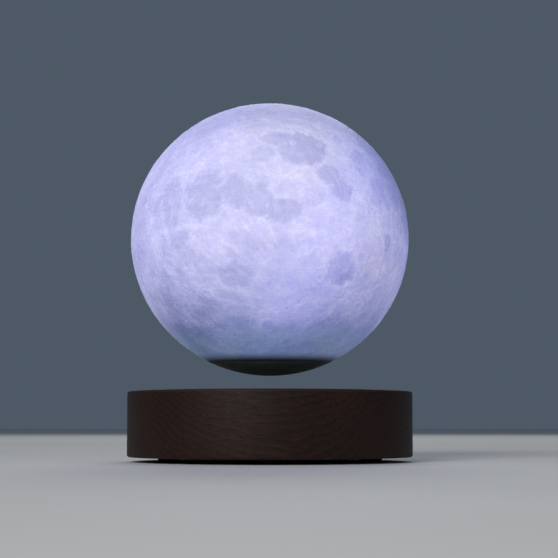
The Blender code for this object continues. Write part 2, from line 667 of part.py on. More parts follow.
def build_button(button_line):
    """Bezel, button, plunger and switch on the button's centre line, whose zero is the wall's outer face."""
    sleeve_end = -BASE_WALL - BEZEL_TAIL
    flange_back = SEAT_GAP - BEZEL_RECESS
    flange_face = flange_back + BEZEL_FLANGE_THICKNESS
    bore_radius = BUTTON_RADIUS + SEAT_GAP
    bezel = [
        (bore_radius, flange_face),
        (BEZEL_FLANGE_RADIUS - BEZEL_EDGE, flange_face),
        (BEZEL_FLANGE_RADIUS, flange_face - BEZEL_EDGE),
        (BEZEL_FLANGE_RADIUS, flange_back),
        (bezel_outer_radius(), flange_back),
        (bezel_outer_radius(), sleeve_end),
        (bore_radius, sleeve_end),
    ]
    add_piece("button_bezel", turned(bezel, SMALL_FLATS), ALUMINIUM, button_line)
    switch_face = board_radius - SWITCH_SETBACK - BASE_RADIUS
    plunger_end = switch_face + PLUNGER_REACH
    button_face = flange_face + BUTTON_PROUD
    flange_top = sleeve_end - SEAT_GAP
    button = [
        (0, button_face),
        (BUTTON_RADIUS - BUTTON_EDGE, button_face),
        (BUTTON_RADIUS, button_face - BUTTON_EDGE),
        (BUTTON_RADIUS, flange_top),
        (BUTTON_RADIUS + BUTTON_FLANGE_WIDTH, flange_top),
        (BUTTON_RADIUS + BUTTON_FLANGE_WIDTH, flange_top - BUTTON_FLANGE_THICKNESS),
        (PLUNGER_RADIUS, flange_top - BUTTON_FLANGE_THICKNESS),
        (PLUNGER_RADIUS, plunger_end + SEAT_GAP),
        (0, plunger_end + SEAT_GAP),
    ]
    add_piece("light_button", turned(button, SMALL_FLATS), ALUMINIUM, button_line)
    plunger = cylinder(PLUNGER_RADIUS, switch_face - PLUNGER_SEAT, plunger_end)
    add_piece("switch_plunger", plunger, BLACK_ABS, button_line)
    body = block(SWITCH_SIDE, SWITCH_SIDE, switch_face - SWITCH_DEPTH, switch_face)
    switch = add_piece("switch_body", body, CHIP_EPOXY, button_line, turn=BUTTON_ANGLE)
    bore = cylinder(PLUNGER_RADIUS + SEAT_GAP, switch_face - PLUNGER_BORE_DEPTH, switch_face + CUT_OVERRUN)
    cut(switch, "switch_bore", bore, button_line)


def build_moon(globe_line):
    """The hollow globe, a little wider than it is high, with the opening that the bottom cap closes."""
    outer_end = -math.acos(OPENING_RADIUS / GLOBE_RADIUS)
    inner_radius, inner_height = GLOBE_RADIUS - MOON_WALL, GLOBE_HALF_HEIGHT - MOON_WALL
    inner_end = -math.acos(OPENING_RADIUS / inner_radius)
    upper = oval_arc(GLOBE_RADIUS, GLOBE_HALF_HEIGHT, QUARTER_TURN, 0, MOON_UPPER_STEPS)
    lower = oval_arc(GLOBE_RADIUS, GLOBE_HALF_HEIGHT, 0, outer_end, MOON_LOWER_STEPS)
    inner = oval_arc(inner_radius, inner_height, inner_end, QUARTER_TURN, MOON_INNER_STEPS)
    outline = [(0, GLOBE_HALF_HEIGHT)] + upper[1:] + lower[1:] + inner[:-1] + [(0, inner_height)]
    add_piece("moon_shell", turned(outline, GLOBE_FLATS), MOON_PLA, globe_line)


def build_float_unit(globe_line):
    """The bottom cap and what it holds: lift magnet with keeper, and round them pickup coil with ferrite."""
    seam = -math.acos(cap_outer_radius / GLOBE_RADIUS)
    dish = oval_arc(GLOBE_RADIUS, GLOBE_HALF_HEIGHT, seam, -QUARTER_TURN, CAP_DISH_STEPS)
    outline = [
        (0, magnet_floor),
        (magnet_seat_radius, magnet_floor),
        (magnet_seat_radius, coil_floor),
        (cap_inner_radius, coil_floor),
        (cap_inner_radius, cap_rim),
        (cap_outer_radius, cap_rim),
    ]
    outline += dish[:-1] + [(0, -GLOBE_HALF_HEIGHT)]
    cap = add_piece("bottom_cap", turned(outline, GLOBE_FLATS), CAP_ABS, globe_line)
    plate = disc(cap_outer_radius, lid_bottom, lid_top, RING_FLATS)
    lid = add_piece("carrier_lid", plate, BLACK_ABS, globe_line)
    screw_circle = (cap_inner_radius + cap_outer_radius) / 2
    screw_seat = lid_top + SEAT_GAP
    for number, angle in enumerate(angles_round(LID_SCREW_COUNT, QUARTER_TURN), 1):
        place = on_circle(screw_circle, angle)
        pilot = cylinder(screw_hole_radius, screw_seat - LID_SCREW_LENGTH - SEAT_GAP, cap_rim + CUT_OVERRUN)
        cut(cap, f"lid_screw_pilot_{number}", pilot, globe_line, place)
        hole = cylinder(screw_hole_radius, lid_bottom - CUT_OVERRUN, lid_top + CUT_OVERRUN)
        cut(lid, f"lid_screw_hole_{number}", hole, globe_line, place)
        seat = on_circle(screw_circle, angle, screw_seat)
        add_piece(f"lid_screw_{number}", screw_shape(LID_SCREW_LENGTH), ZINC_STEEL, globe_line, seat)
    magnet = disc(magnet_radius, magnet_bottom, magnet_top, RING_FLATS, MAGNET_CHAMFER)
    add_piece("lift_magnet", magnet, NICKEL, globe_line)
    keeper = disc(magnet_radius, keeper_bottom, cap_rim, RING_FLATS)
    add_piece("keeper_plate", keeper, ZINC_STEEL, globe_line)
    coil_bottom = coil_floor + SEAT_GAP
    coil_top = coil_bottom + RECEIVER_COIL_HEIGHT
    coil = ring(coil_outer_radius, coil_inner_radius, coil_bottom, coil_top, RING_FLATS)
    add_piece("receiver_coil", coil, COPPER_WIRE, globe_line)
    ferrite_bottom = coil_top + SEAT_GAP
    ferrite_top = ferrite_bottom + RECEIVER_FERRITE_THICKNESS
    ferrite = ring(coil_outer_radius, coil_inner_radius, ferrite_bottom, ferrite_top, RING_FLATS)
    add_piece("receiver_ferrite", ferrite, FERRITE, globe_line)
    return lid


def build_light(globe_line, lid):
    """The light on the lid: a metal-cored board with four leds under a frosted dome, and its capacitor."""
    capacitor_circle = DIFFUSER_RADIUS + FITTING_CLEARANCE + SMOOTHING_CAPACITOR_RADIUS
    board_reach = capacitor_circle + SMOOTHING_CAPACITOR_RADIUS + LED_BOARD_EDGE
    board_shape = disc(board_reach, led_board_bottom, led_board_top, RING_FLATS)
    board = add_piece("led_board", board_shape, ALUMINIUM, globe_line)
    seat = led_board_top + SEAT_GAP
    screw_circle = DIFFUSER_RADIUS + FITTING_CLEARANCE + SCREW_HEAD_RADIUS
    pilot_end = seat - LED_SCREW_LENGTH - SEAT_GAP
    for number, angle in enumerate(angles_round(LED_SCREW_COUNT), 1):
        place = on_circle(screw_circle, angle)
        hole = cylinder(screw_hole_radius, led_board_bottom - CUT_OVERRUN, led_board_top + CUT_OVERRUN)
        cut(board, f"led_board_hole_{number}", hole, globe_line, place)
        pilot = cylinder(screw_hole_radius, pilot_end, lid_top + CUT_OVERRUN)
        cut(lid, f"led_board_pilot_{number}", pilot, globe_line, place)
        head = on_circle(screw_circle, angle, seat)
        add_piece(f"led_board_screw_{number}", screw_shape(LED_SCREW_LENGTH), ZINC_STEEL, globe_line, head)
    led_circle = DIFFUSER_RADIUS - DIFFUSER_WALL - LED_CLEARANCE - LED_SIDE * math.sqrt(2) / 2
    for number, angle in enumerate(angles_round(LED_COUNT, QUARTER_TURN / 2), 1):
        led = block(LED_SIDE, LED_SIDE, seat, seat + LED_HEIGHT, LED_CHAMFER)
        add_piece(f"led_{number}", led, LED_PHOSPHOR, globe_line, on_circle(led_circle, angle), angle)
    spring_line = seat + DIFFUSER_SKIRT
    inner_radius = DIFFUSER_RADIUS - DIFFUSER_WALL
    outer_dome = arc((0, spring_line), DIFFUSER_RADIUS, QUARTER_TURN, 0, DIFFUSER_STEPS)
    inner_dome = arc((0, spring_line), inner_radius, 0, QUARTER_TURN, DIFFUSER_STEPS)
    dome = [(0, spring_line + DIFFUSER_RADIUS)] + outer_dome[1:]
    dome += [(DIFFUSER_RADIUS, seat), (inner_radius, seat)]
    dome += inner_dome[:-1] + [(0, spring_line + inner_radius)]
    add_piece("light_diffuser", turned(dome, SMALL_FLATS), FROSTED_CAP, globe_line)
    can_top = seat + SMOOTHING_CAPACITOR_HEIGHT
    can = disc(SMOOTHING_CAPACITOR_RADIUS, seat, can_top, SCREW_FLATS, CAPACITOR_EDGE)
    place = on_circle(capacitor_circle, QUARTER_TURN)
    add_piece("smoothing_capacitor", can, CAPACITOR_SLEEVE, globe_line, place)


def build_lamp():
    """Puts the lamp together on its centre lines."""
    clear_scene()
    base_line = centre_line("base_line", (0, 0, 0))
    globe_line = centre_line("globe_line", (0, 0, globe_centre))
    jack_line = centre_line("jack_line", (0, jack_seat_radius, jack_height), (0, 1, 0))
    button_height = board_top + SEAT_GAP + SWITCH_SIDE / 2
    button_place = on_circle(BASE_RADIUS, BUTTON_ANGLE, button_height)
    button_line = centre_line("button_line", button_place, on_circle(1, BUTTON_ANGLE))
    build_base_shell(base_line, jack_line, button_line)
    build_bottom_cover(base_line)
    build_driver_board(base_line)
    build_levitation_drive(base_line)
    build_power_coil(base_line)
    build_inlet(jack_line)
    build_leads(base_line)
    build_button(button_line)
    build_moon(globe_line)
    lid = build_float_unit(globe_line)
    build_light(globe_line, lid)


build_lamp()
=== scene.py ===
"""The looks of a levitating lamp: a glowing moon globe that hovers over a dark wooden base.

The script follows the lamp as it is put together, from the wooden shell to the light in the globe, and ends
with the studio. Lengths are in metres, and the size of each pattern is given in millimetres.
"""

import math

import bmesh
import bpy
from mathutils import Matrix, Vector


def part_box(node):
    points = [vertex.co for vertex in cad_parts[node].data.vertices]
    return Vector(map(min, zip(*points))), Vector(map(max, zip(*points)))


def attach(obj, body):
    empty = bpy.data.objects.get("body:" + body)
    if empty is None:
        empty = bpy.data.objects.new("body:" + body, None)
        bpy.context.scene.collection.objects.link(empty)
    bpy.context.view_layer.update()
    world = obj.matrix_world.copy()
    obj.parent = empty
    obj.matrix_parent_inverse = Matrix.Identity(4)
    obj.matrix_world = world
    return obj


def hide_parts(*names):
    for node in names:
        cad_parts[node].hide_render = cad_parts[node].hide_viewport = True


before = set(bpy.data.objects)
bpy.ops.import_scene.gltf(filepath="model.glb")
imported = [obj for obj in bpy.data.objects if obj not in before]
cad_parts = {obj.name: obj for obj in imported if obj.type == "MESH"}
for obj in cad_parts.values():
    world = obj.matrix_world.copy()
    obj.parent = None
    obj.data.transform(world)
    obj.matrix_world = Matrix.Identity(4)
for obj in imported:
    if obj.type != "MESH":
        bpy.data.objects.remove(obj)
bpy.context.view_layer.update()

# Base shell: one block of walnut, turned on a lathe, hollowed from below and finished with dark oil.
# The inlet's flange sits in a recess in its rear wall, and the button's bezel in a shallow one beside it.

BASE_FLATS, HOLE_FLATS = 240, 64
BASE_EDGE, EDGE_STEPS = 0.0012, 6
COVER_LIP, COVER_THICKNESS = 0.0025, 0.0025
BASE_WALL, BASE_ROOF = 0.0085, 0.0030
SEAT_GAP, OVERRUN, MERGE_DISTANCE = 0.0003, 0.0010, 0.000001
SHARP_ANGLE = math.radians(35)
REARWARD = (0, 1, 0)
JACK_FLANGE_THICKNESS, JACK_BARREL_RADIUS = 0.0012, 0.0040
JACK_PANEL, JACK_NUT_ROOM = 0.0030, 0.0072
BUTTON_ANGLE = math.radians(66)
BEZEL_RECESS, BEZEL_SLEEVE_RADIUS = 0.0006, 0.0049
RUBBED_WIDTH = 0.0016
PITH_BEHIND, PITH_BELOW = 0.034, 0.058
GROWTH_RING_MM, FIBRE_MM, BLOTCH_MM = 2.6, 0.9, 30
RING_DRIFT, RING_DRIFT_MM = (0.010, 0.022, 0.022), 55
# Fibres and pores are drawn out along X, to many times their width
GRAIN_SQUEEZE = (0.06, 1.0, 1.0)
# Real pores are 0.1 mm wide, which is too fine to show here, so they are drawn 0.5 mm wide
PORE_MM = 0.5
WALNUT_LIGHT, WALNUT_DARK = "#321A11", "#140A06"
WALNUT_PORE, WALNUT_RUBBED = "#080504", "#4A3022"
# Most of a noise lies between these two levels
SWING = (0.3, 0.7)
# A mix node's sockets share their names, so they go by place: its factor, two colours and two numbers
FACTOR, UNDER, OVER, FROM, TO = 0, 6, 7, 2, 3


def linear(colour):
    """An sRGB hex colour as the linear red, green, blue and alpha that the nodes take."""
    shares = [int(colour[start : start + 2], 16) / 255 for start in (1, 3, 5)]
    return [s / 12.92 if s <= 0.04045 else ((s + 0.055) / 1.055) ** 2.4 for s in shares] + [1.0]


def spaced(values):
    """The same values under their inputs' real names, which have spaces."""
    return {name.replace("_", " "): value for name, value in values.items()}


def pattern(place, size_mm, **inputs):
    """A texture's inputs: where it is read, and the scale that makes its features so many mm across."""
    return {"Vector": place, "Scale": 1000 / size_mm, **spaced(inputs)}


def waves(place, spacing_mm, **inputs):
    """A wave texture's inputs, with its crests so many mm apart: at a scale of 1 they are tau / 20 apart."""
    return pattern(place, spacing_mm * 20 / math.tau, **inputs)


def feed(tree, node, feeds):
    """Sets a node's inputs, by name or in order, to values, or links them to other nodes or their outputs."""
    for key, value in feeds.items() if isinstance(feeds, dict) else enumerate(feeds):
        if isinstance(value, bpy.types.Node):
            value = next(output for output in value.outputs if output.enabled)
        if isinstance(value, bpy.types.NodeSocket):
            tree.links.new(value, node.inputs[key])
        else:
            node.inputs[key].default_value = value


def add(tree, kind, feeds=(), stops=(), **settings):
    """Adds a node, a shader one unless its kind says otherwise, with its settings, inputs and ramp stops."""
    node = tree.nodes.new(kind if "Node" in kind else f"ShaderNode{kind}")
    for name, value in settings.items():
        setattr(node, name, value)
    for index, (position, colour) in enumerate(stops):
        elements = node.color_ramp.elements
        element = elements[index] if index < len(elements) else elements.new(position)
        element.position, element.color = position, linear(colour)
    feed(tree, node, feeds)
    return node


def weigh(tree, start, weights):
    """A start value and every field times its weight, added up."""
    for field, weight in weights:
        start = add(tree, "Math", (field, weight, start), operation="MULTIPLY_ADD")
    return start


def finish(name, **inputs):
    """A new material, with its tree, its shader and a node for the piece's own coordinates."""
    material = bpy.data.materials.new(name)
    material.use_nodes = True
    tree = material.node_tree
    shader = tree.nodes["Principled BSDF"]
    feed(tree, shader, spaced(inputs))
    place = add(tree, "TexCoord").outputs["Object"]
    return material, tree, shader, place


def paint(tree, shader, colour, rough=None, height=None, depth=None, strength=0.3):
    """Gives a shader its colour, roughness and, through a bump, its height.

    Colour is a node, or a field with a ramp's stops. Roughness is a field with its range, and the roughness
    at both ends of it.
    """
    if isinstance(colour, tuple):
        colour = add(tree, "ValToRGB", {"Fac": colour[0]}, colour[1:])
    feed(tree, shader, {"Base Color": colour})
    if rough is not None:
        feed(tree, shader, {"Roughness": add(tree, "MapRange", rough)})
    if height is not None:
        bump = add(tree, "Bump", {"Height": height, "Strength": strength, "Distance": depth})
        feed(tree, shader, {"Normal": bump})


def new_object(name, data):
    """A new object of the scene."""
    made = bpy.data.objects.new(name, data)
    bpy.context.collection.objects.link(made)
    return made


def solid(name, shape):
    """A new object with a bmesh's faces, all made to point outwards."""
    bmesh.ops.recalc_face_normals(shape, faces=shape.faces)
    mesh = bpy.data.meshes.new(name)
    shape.to_mesh(mesh)
    shape.free()
    return new_object(name, mesh)


def smooth(piece):
    """Shades a piece smooth, apart from its sharp edges."""
    piece.data.shade_smooth()
    piece.data.set_sharp_from_angle(angle=SHARP_ANGLE)


def turned(name, outline, flats, place=(0, 0, 0), way=(0, 0, 1)):
    """A body turned from (radius, height) points about an axis through a place along a way.

    An outline that starts off the axis closes on itself.
    """
    shape = bmesh.new()
    points = [shape.verts.new((radius, 0, height)) for radius, height in outline]
    runs = list(zip(points, points[1:]))
    if outline[0][0] > 0:
        runs.append((points[-1], points[0]))
    edges = [shape.edges.new(run) for run in runs]
    axis = {"axis": (0, 0, 1), "cent": (0, 0, 0)}
    bmesh.ops.spin(shape, geom=points + edges, steps=flats, angle=math.tau, use_merge=True, **axis)
    bmesh.ops.remove_doubles(shape, verts=shape.verts, dist=MERGE_DISTANCE)
    piece = solid(name, shape)
    turn = Vector((0, 0, 1)).rotation_difference(Vector(way)).to_matrix().to_4x4()
    piece.data.transform(Matrix.Translation(place) @ turn)
    smooth(piece)
    return piece


def arc(radius, height, bend, start, end, steps=EDGE_STEPS):
    """Points of an arc in an outline about (radius, height), from one angle in degrees to another."""
    angles = [math.radians(start + (end - start) * step / steps) for step in range(steps + 1)]
    return [(radius + bend * math.cos(angle), height + bend * math.sin(angle)) for angle in angles]


def plain_mesh(piece):
    """The piece's evaluated shape as a mesh of its own."""
    graph = bpy.context.evaluated_depsgraph_get()
    keep = {"preserve_all_data_layers": True, "depsgraph": graph}
    return bpy.data.meshes.new_from_object(piece.evaluated_get(graph), **keep)


def cut(piece, cutter):
    """Cuts one body out of another and takes the cutter away."""
    boolean = piece.modifiers.new("cut", "BOOLEAN")
    boolean.object = cutter
    boolean.solver = "EXACT"
    left = plain_mesh(piece)
    piece.modifiers.remove(boolean)
    piece.data = left
    smooth(piece)
    bpy.data.objects.remove(cutter)


def fit(piece, body, slot, material, *nodes):
    """Gives a finished piece its material and its body, and hides the CAD nodes that it stands for. Its slot
    is not used.
    """
    piece.data.materials.clear()
    piece.data.materials.append(material)
    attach(piece, body)
    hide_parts(*nodes)


base_low, base_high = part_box("base_shell")
jack_low, jack_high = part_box("dc_jack")
bezel_low, bezel_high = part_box("button_bezel")
base_radius, base_top, base_bottom = base_high.x, base_high.z, base_low.z
jack_radius = (jack_high.x - jack_low.x) / 2
jack_place = Vector((0, jack_high.y - JACK_FLANGE_THICKNESS - SEAT_GAP, (jack_high.z + jack_low.z) / 2))
bezel_radius = (bezel_high.z - bezel_low.z) / 2
button_way = Vector((math.cos(BUTTON_ANGLE), math.sin(BUTTON_ANGLE), 0))
button_place = button_way * base_radius + Vector((0, 0, (bezel_high.z + bezel_low.z) / 2))


def oiled_walnut():
    """Growth rings, long fibres and open pores, under a thin satin film of oil, rubbed off at the rim."""
    film = {"Specular_IOR_Level": 0.20, "Coat_Weight": 0.04, "Coat_Roughness": 0.40}
    material, tree, shader, place = finish("oiled_walnut", Roughness=0.58, **film)
    drift = add(tree, "TexNoise", pattern(place, RING_DRIFT_MM, Detail=2.0)).outputs["Color"]
    drifted = add(tree, "VectorMath", (drift, RING_DRIFT, place), operation="MULTIPLY_ADD")
    # The pith lies behind and under the block, so the roof shows long arches and the ends show rings
    pith = add(tree, "Mapping", {"Vector": drifted, "Location": (0, -PITH_BEHIND, PITH_BELOW)})
    rings = {"wave_type": "RINGS", "rings_direction": "X", "wave_profile": "SAW"}
    growth = add(tree, "TexWave", waves(pith, GROWTH_RING_MM), **rings).outputs["Fac"]
    along = add(tree, "Mapping", {"Vector": place, "Scale": GRAIN_SQUEEZE})
    fibre = add(tree, "TexNoise", pattern(along, FIBRE_MM, Detail=3.0))
    pore = add(tree, "TexNoise", pattern(along, PORE_MM, Detail=1.0))
    pores = add(tree, "MapRange", (pore, 0.60, 0.70))
    blotch = add(tree, "TexNoise", pattern(place, BLOTCH_MM, Detail=3.0))
    tone = weigh(tree, 0.0, ((growth, 0.30), (fibre, 0.55), (blotch, 0.50)))
    wood = add(tree, "ValToRGB", {"Fac": tone}, ((0.42, WALNUT_LIGHT), (0.95, WALNUT_DARK)))
    pored = add(tree, "Mix", {FACTOR: pores, UNDER: wood, OVER: linear(WALNUT_PORE)}, data_type="RGBA")
    # Dusting rubs the oil off along the upper rim
    height = add(tree, "SeparateXYZ", (place,)).outputs["Z"]
    level = add(tree, "VectorMath", (place, (1, 1, 0)), operation="MULTIPLY")
    reach = add(tree, "VectorMath", (level,), operation="LENGTH")
    rim = add(tree, "MapRange", (reach, base_radius - RUBBED_WIDTH, base_radius))
    top = add(tree, "MapRange", (height, base_top - RUBBED_WIDTH, base_top))
    edge = add(tree, "Math", (rim, top), operation="MULTIPLY")
    rubbed = add(tree, "Math", (edge, fibre), operation="MULTIPLY")
    worn = add(tree, "Mix", {FACTOR: rubbed, UNDER: pored, OVER: linear(WALNUT_RUBBED)}, data_type="RGBA")
    grain = add(tree, "Math", (fibre, pores), operation="SUBTRACT")
    paint(tree, shader, worn, (fibre, *SWING, 0.50, 0.66), grain, depth=0.00015)
    return material


rebate_radius, wall_radius = base_radius - COVER_LIP, base_radius - BASE_WALL
rebate_top = base_bottom + COVER_THICKNESS + SEAT_GAP
outline = [(0, base_top)]
outline += arc(base_radius - BASE_EDGE, base_top - BASE_EDGE, BASE_EDGE, 90, 0)
outline += arc(base_radius - BASE_EDGE, base_bottom + BASE_EDGE, BASE_EDGE, 0, -90)
outline += [(rebate_radius, base_bottom), (rebate_radius, rebate_top), (wall_radius, rebate_top)]
outline += [(wall_radius, base_top - BASE_ROOF), (0, base_top - BASE_ROOF)]
wooden_shell = turned("wooden_shell", outline, BASE_FLATS)
wall_end = -BASE_WALL - OVERRUN
way_out = JACK_FLANGE_THICKNESS + OVERRUN
outline = [(0, way_out), (jack_radius + SEAT_GAP, way_out), (jack_radius + SEAT_GAP, 0)]
outline += [(JACK_BARREL_RADIUS + SEAT_GAP, 0), (JACK_BARREL_RADIUS + SEAT_GAP, -JACK_PANEL)]
outline += [(JACK_NUT_ROOM, -JACK_PANEL), (JACK_NUT_ROOM, wall_end), (0, wall_end)]
cut(wooden_shell, turned("jack_way", outline, HOLE_FLATS, jack_place, REARWARD))
sleeve_way = BEZEL_SLEEVE_RADIUS + SEAT_GAP
outline = [(0, OVERRUN), (bezel_radius + SEAT_GAP, OVERRUN), (bezel_radius + SEAT_GAP, -BEZEL_RECESS)]
outline += [(sleeve_way, -BEZEL_RECESS), (sleeve_way, wall_end), (0, wall_end)]
cut(wooden_shell, turned("bezel_way", outline, HOLE_FLATS, button_place, button_way))
fit(wooden_shell, "base", "walnut", oiled_walnut(), "base_shell")

# Bottom cover: a disc of black ABS, injection-moulded with a fine spark-eroded texture. Four screws, whose
# heads sink into stepped holes, hold it in the shell's rebate, and the driver board stands on its bosses.

FLOW_MM, EROSION_MM = 16, 0.6
ABS_LIGHT, ABS_DARK = "#232326", "#151517"


def dress(material, *nodes):
    """Gives CAD nodes that stay as they are their material."""
    for node in nodes:
        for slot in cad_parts[node].material_slots:
            slot.material = material


def moulded(name, light, dark, grain_mm, roughness):
    """An injection-moulded plastic: even colour with faint flow marks, and the mould's fine eroded grain."""
    material, tree, shader, place = finish(name, Roughness=roughness)
    flow = add(tree, "TexNoise", pattern(place, FLOW_MM, Detail=3.0, Distortion=1.2))
    grain = add(tree, "TexNoise", pattern(place, grain_mm, Detail=2.0))
    mixed = add(tree, "Math", (flow, grain), operation="MULTIPLY")
    rough = (flow, *SWING, roughness - 0.06, roughness + 0.06)
    paint(tree, shader, (mixed, (0.12, dark), (0.42, light)), rough, grain, depth=0.00005)
    return material


black_abs = moulded("eroded_black_abs", ABS_LIGHT, ABS_DARK, EROSION_MM, roughness=0.52)
dress(black_abs, "bottom_cover")

# Rubber feet and cover screws: four of each, round the cover. The feet are moulded rubber, glued into
# pockets, and the screws are zinc-plated pan heads, whose cross recesses end at whatever angle they were
# driven to.

FOOT_RADIUS, FOOT_CIRCLE, FOOT_FLATS = 0.0060, 0.0517, 64
FOOT_EDGE, FOOT_EDGE_STEPS, FOOT_DISH = 0.0008, 5, 0.0003
SCREW_HEAD_RADIUS, SCREW_HEAD_HEIGHT, SCREW_FLATS = 0.0018, 0.0012, 36
SCREW_SHANK_RADIUS, SCREW_TIP = 0.0009, 0.0006
SCREW_CROWN, SCREW_CROWN_STEPS = 0.0005, 4
CROSS_WIDTH, CROSS_LENGTH, CROSS_DEPTH, CROSS_TAPER_SHARE = 0.0005, 0.0021, 0.0006, 0.7
COVER_SCREW_LENGTH, COVER_SCREW_CIRCLE, SCREW_SEED = 0.0085, 0.0677, 4
BLOOM_MM, GRIT_MM, SPANGLE_MM = 4, 0.5, 0.6
RUBBER_LIGHT, RUBBER_DARK = "#2A2A2A", "#171717"
ZINC_LIGHT, ZINC_DARK = "#C9CBC8", "#8E938F"


def numbered(name):
    """The CAD nodes that are called this and a number, such as the four feet."""
    return [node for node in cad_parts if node.removeprefix(f"{name}_").isdigit()]


def open_tree(name, kinds):
    """A new Geometry Nodes tree whose named inputs are of these kinds, and the outputs that give them."""
    tree = bpy.data.node_groups.new(name, "GeometryNodeTree")
    for label, kind in kinds.items():
        tree.interface.new_socket(label, in_out="INPUT", socket_type=f"NodeSocket{kind}")
    tree.interface.new_socket("Geometry", in_out="OUTPUT", socket_type="NodeSocketGeometry")
    return tree, add(tree, "NodeGroupInput").outputs


def close_tree(tree, shape, material):
    """Ends a tree: its instances are made real and get their material."""
    real = add(tree, "GeometryNodeRealizeInstances", {"Geometry": shape})
    coated = add(tree, "GeometryNodeSetMaterial", {"Geometry": real, "Material": material})
    add(tree, "NodeGroupOutput", {"Geometry": coated})


def ring_tree():
    """A tree that sets copies of a part evenly round a circle, each turned at random about its own axis."""
    kinds = {"Part": "Object", "Count": "Int", "Circle": "Float", "Height": "Float", "First Angle": "Float"}
    kinds.update({"Loose Turn": "Float", "Seed": "Int", "Finish": "Material"})
    tree, given = open_tree("parts_round_a_circle", kinds)
    circle = add(tree, "GeometryNodeMeshCircle", {"Vertices": given["Count"], "Radius": given["Circle"]})
    lift = add(tree, "CombineXYZ", {"Z": given["Height"]})
    first = add(tree, "CombineXYZ", {"Z": given["First Angle"]})
    placed = add(tree, "GeometryNodeTransform", {"Geometry": circle, "Translation": lift, "Rotation": first})
    part = add(tree, "GeometryNodeObjectInfo", {"Object": given["Part"]}).outputs["Geometry"]
    # The socket at 3 is the highest number that luck may give
    luck = {3: given["Loose Turn"], "Seed": given["Seed"]}
    loose = add(tree, "FunctionNodeRandomValue", luck, data_type="FLOAT")
    turn = add(tree, "CombineXYZ", {"Z": loose})
    links = {"Points": placed, "Instance": part, "Rotation": turn}
    close_tree(tree, add(tree, "GeometryNodeInstanceOnPoints", links), given["Finish"])
    return tree


def grow(name, tree, **values):
    """Runs a tree with values for its named inputs, and gives the result as an object with a plain mesh."""
    piece = new_object(name, bpy.data.meshes.new(name))
    modifier = piece.modifiers.new(name, "NODES")
    modifier.node_group = tree
    named = spaced(values)
    for item in tree.interface.items_tree:
        if item.item_type == "SOCKET" and item.in_out == "INPUT":
            modifier[item.identifier] = named[item.name]
    mesh = plain_mesh(piece)
    piece.modifiers.remove(modifier)
    piece.data = mesh
    return piece


def pan_head_screw(length):
    """A screw whose head looks down, with a tapered cross recess and its shank up +Z."""
    corner, shank_end = SCREW_HEAD_RADIUS - SCREW_CROWN, length - SCREW_TIP
    outline = [(0, -SCREW_HEAD_HEIGHT)]
    outline += arc(corner, SCREW_CROWN - SCREW_HEAD_HEIGHT, SCREW_CROWN, -90, 0, SCREW_CROWN_STEPS)
    outline += [(SCREW_HEAD_RADIUS, 0), (SCREW_SHANK_RADIUS, 0), (SCREW_SHANK_RADIUS, shank_end), (0, length)]
    screw = turned("screw", outline, SCREW_FLATS)
    half, reach = CROSS_WIDTH / 2, CROSS_LENGTH / 2
    corners = [(half, reach), (half, half), (reach, half), (reach, -half), (half, -half), (half, -reach)]
    corners += [(-x, -y) for x, y in corners]
    shape = bmesh.new()
    mouth = shape.faces.new([shape.verts.new((x, y, -SCREW_HEAD_HEIGHT - OVERRUN)) for x, y in corners])
    raised = bmesh.ops.extrude_face_region(shape, geom=[mouth])["geom"]
    tops = [item for item in raised if isinstance(item, bmesh.types.BMVert)]
    bmesh.ops.translate(shape, vec=(0, 0, OVERRUN + CROSS_DEPTH), verts=tops)
    bmesh.ops.scale(shape, vec=(CROSS_TAPER_SHARE, CROSS_TAPER_SHARE, 1), verts=tops)
    cut(screw, solid("cross", shape))
    return screw


def moulded_rubber():
    """Black rubber: matt, with a chalky bloom in patches."""
    material, tree, shader, place = finish("moulded_rubber", Roughness=0.82, Specular_IOR_Level=0.35)
    bloom = add(tree, "TexNoise", pattern(place, BLOOM_MM, Detail=5.0))
    grit = add(tree, "TexNoise", pattern(place, GRIT_MM, Detail=2.0))
    colour = (bloom, (0.35, RUBBER_DARK), (0.72, RUBBER_LIGHT))
    paint(tree, shader, colour, (bloom, *SWING, 0.72, 0.92), grit, depth=0.00008)
    return material


def zinc_plated_steel():
    """Zinc-plated steel: bright and slightly blue, with a spangled, faintly cloudy plating."""
    material, tree, shader, place = finish("zinc_plated_steel", Metallic=1.0, Roughness=0.32)
    spangle = add(tree, "TexVoronoi", pattern(place, SPANGLE_MM)).outputs["Color"]
    shade = add(tree, "SeparateXYZ", (spangle,))
    colour = (shade, (0.0, ZINC_DARK), (1.0, ZINC_LIGHT))
    paint(tree, shader, colour, (shade, 0.0, 1.0, 0.24, 0.42), shade, depth=0.00002)
    return material


rubber, zinc_steel = moulded_rubber(), zinc_plated_steel()
ring_of_parts = ring_tree()
foot_nodes, cover_screw_nodes = numbered("rubber_foot"), numbered("cover_screw")
foot_low, foot_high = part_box("rubber_foot_1")
foot_height = foot_high.z - foot_low.z
outline = [(0, FOOT_DISH), (FOOT_RADIUS / 2, FOOT_DISH), (FOOT_RADIUS - FOOT_EDGE * 2, 0)]
outline += arc(FOOT_RADIUS - FOOT_EDGE, FOOT_EDGE, FOOT_EDGE, -90, 0, FOOT_EDGE_STEPS)
outline += [(FOOT_RADIUS, foot_height), (0, foot_height)]
foot = turned("foot", outline, FOOT_FLATS)
feet = grow(
    "rubber_feet",
    ring_of_parts,
    Part=foot,
    Count=len(foot_nodes),
    Circle=FOOT_CIRCLE,
    Height=0.0,
    First_Angle=0.0,
    Loose_Turn=0.0,
    Seed=0,
    Finish=rubber,
)
bpy.data.objects.remove(foot)
fit(feet, "base", "rubber", rubber, *foot_nodes)

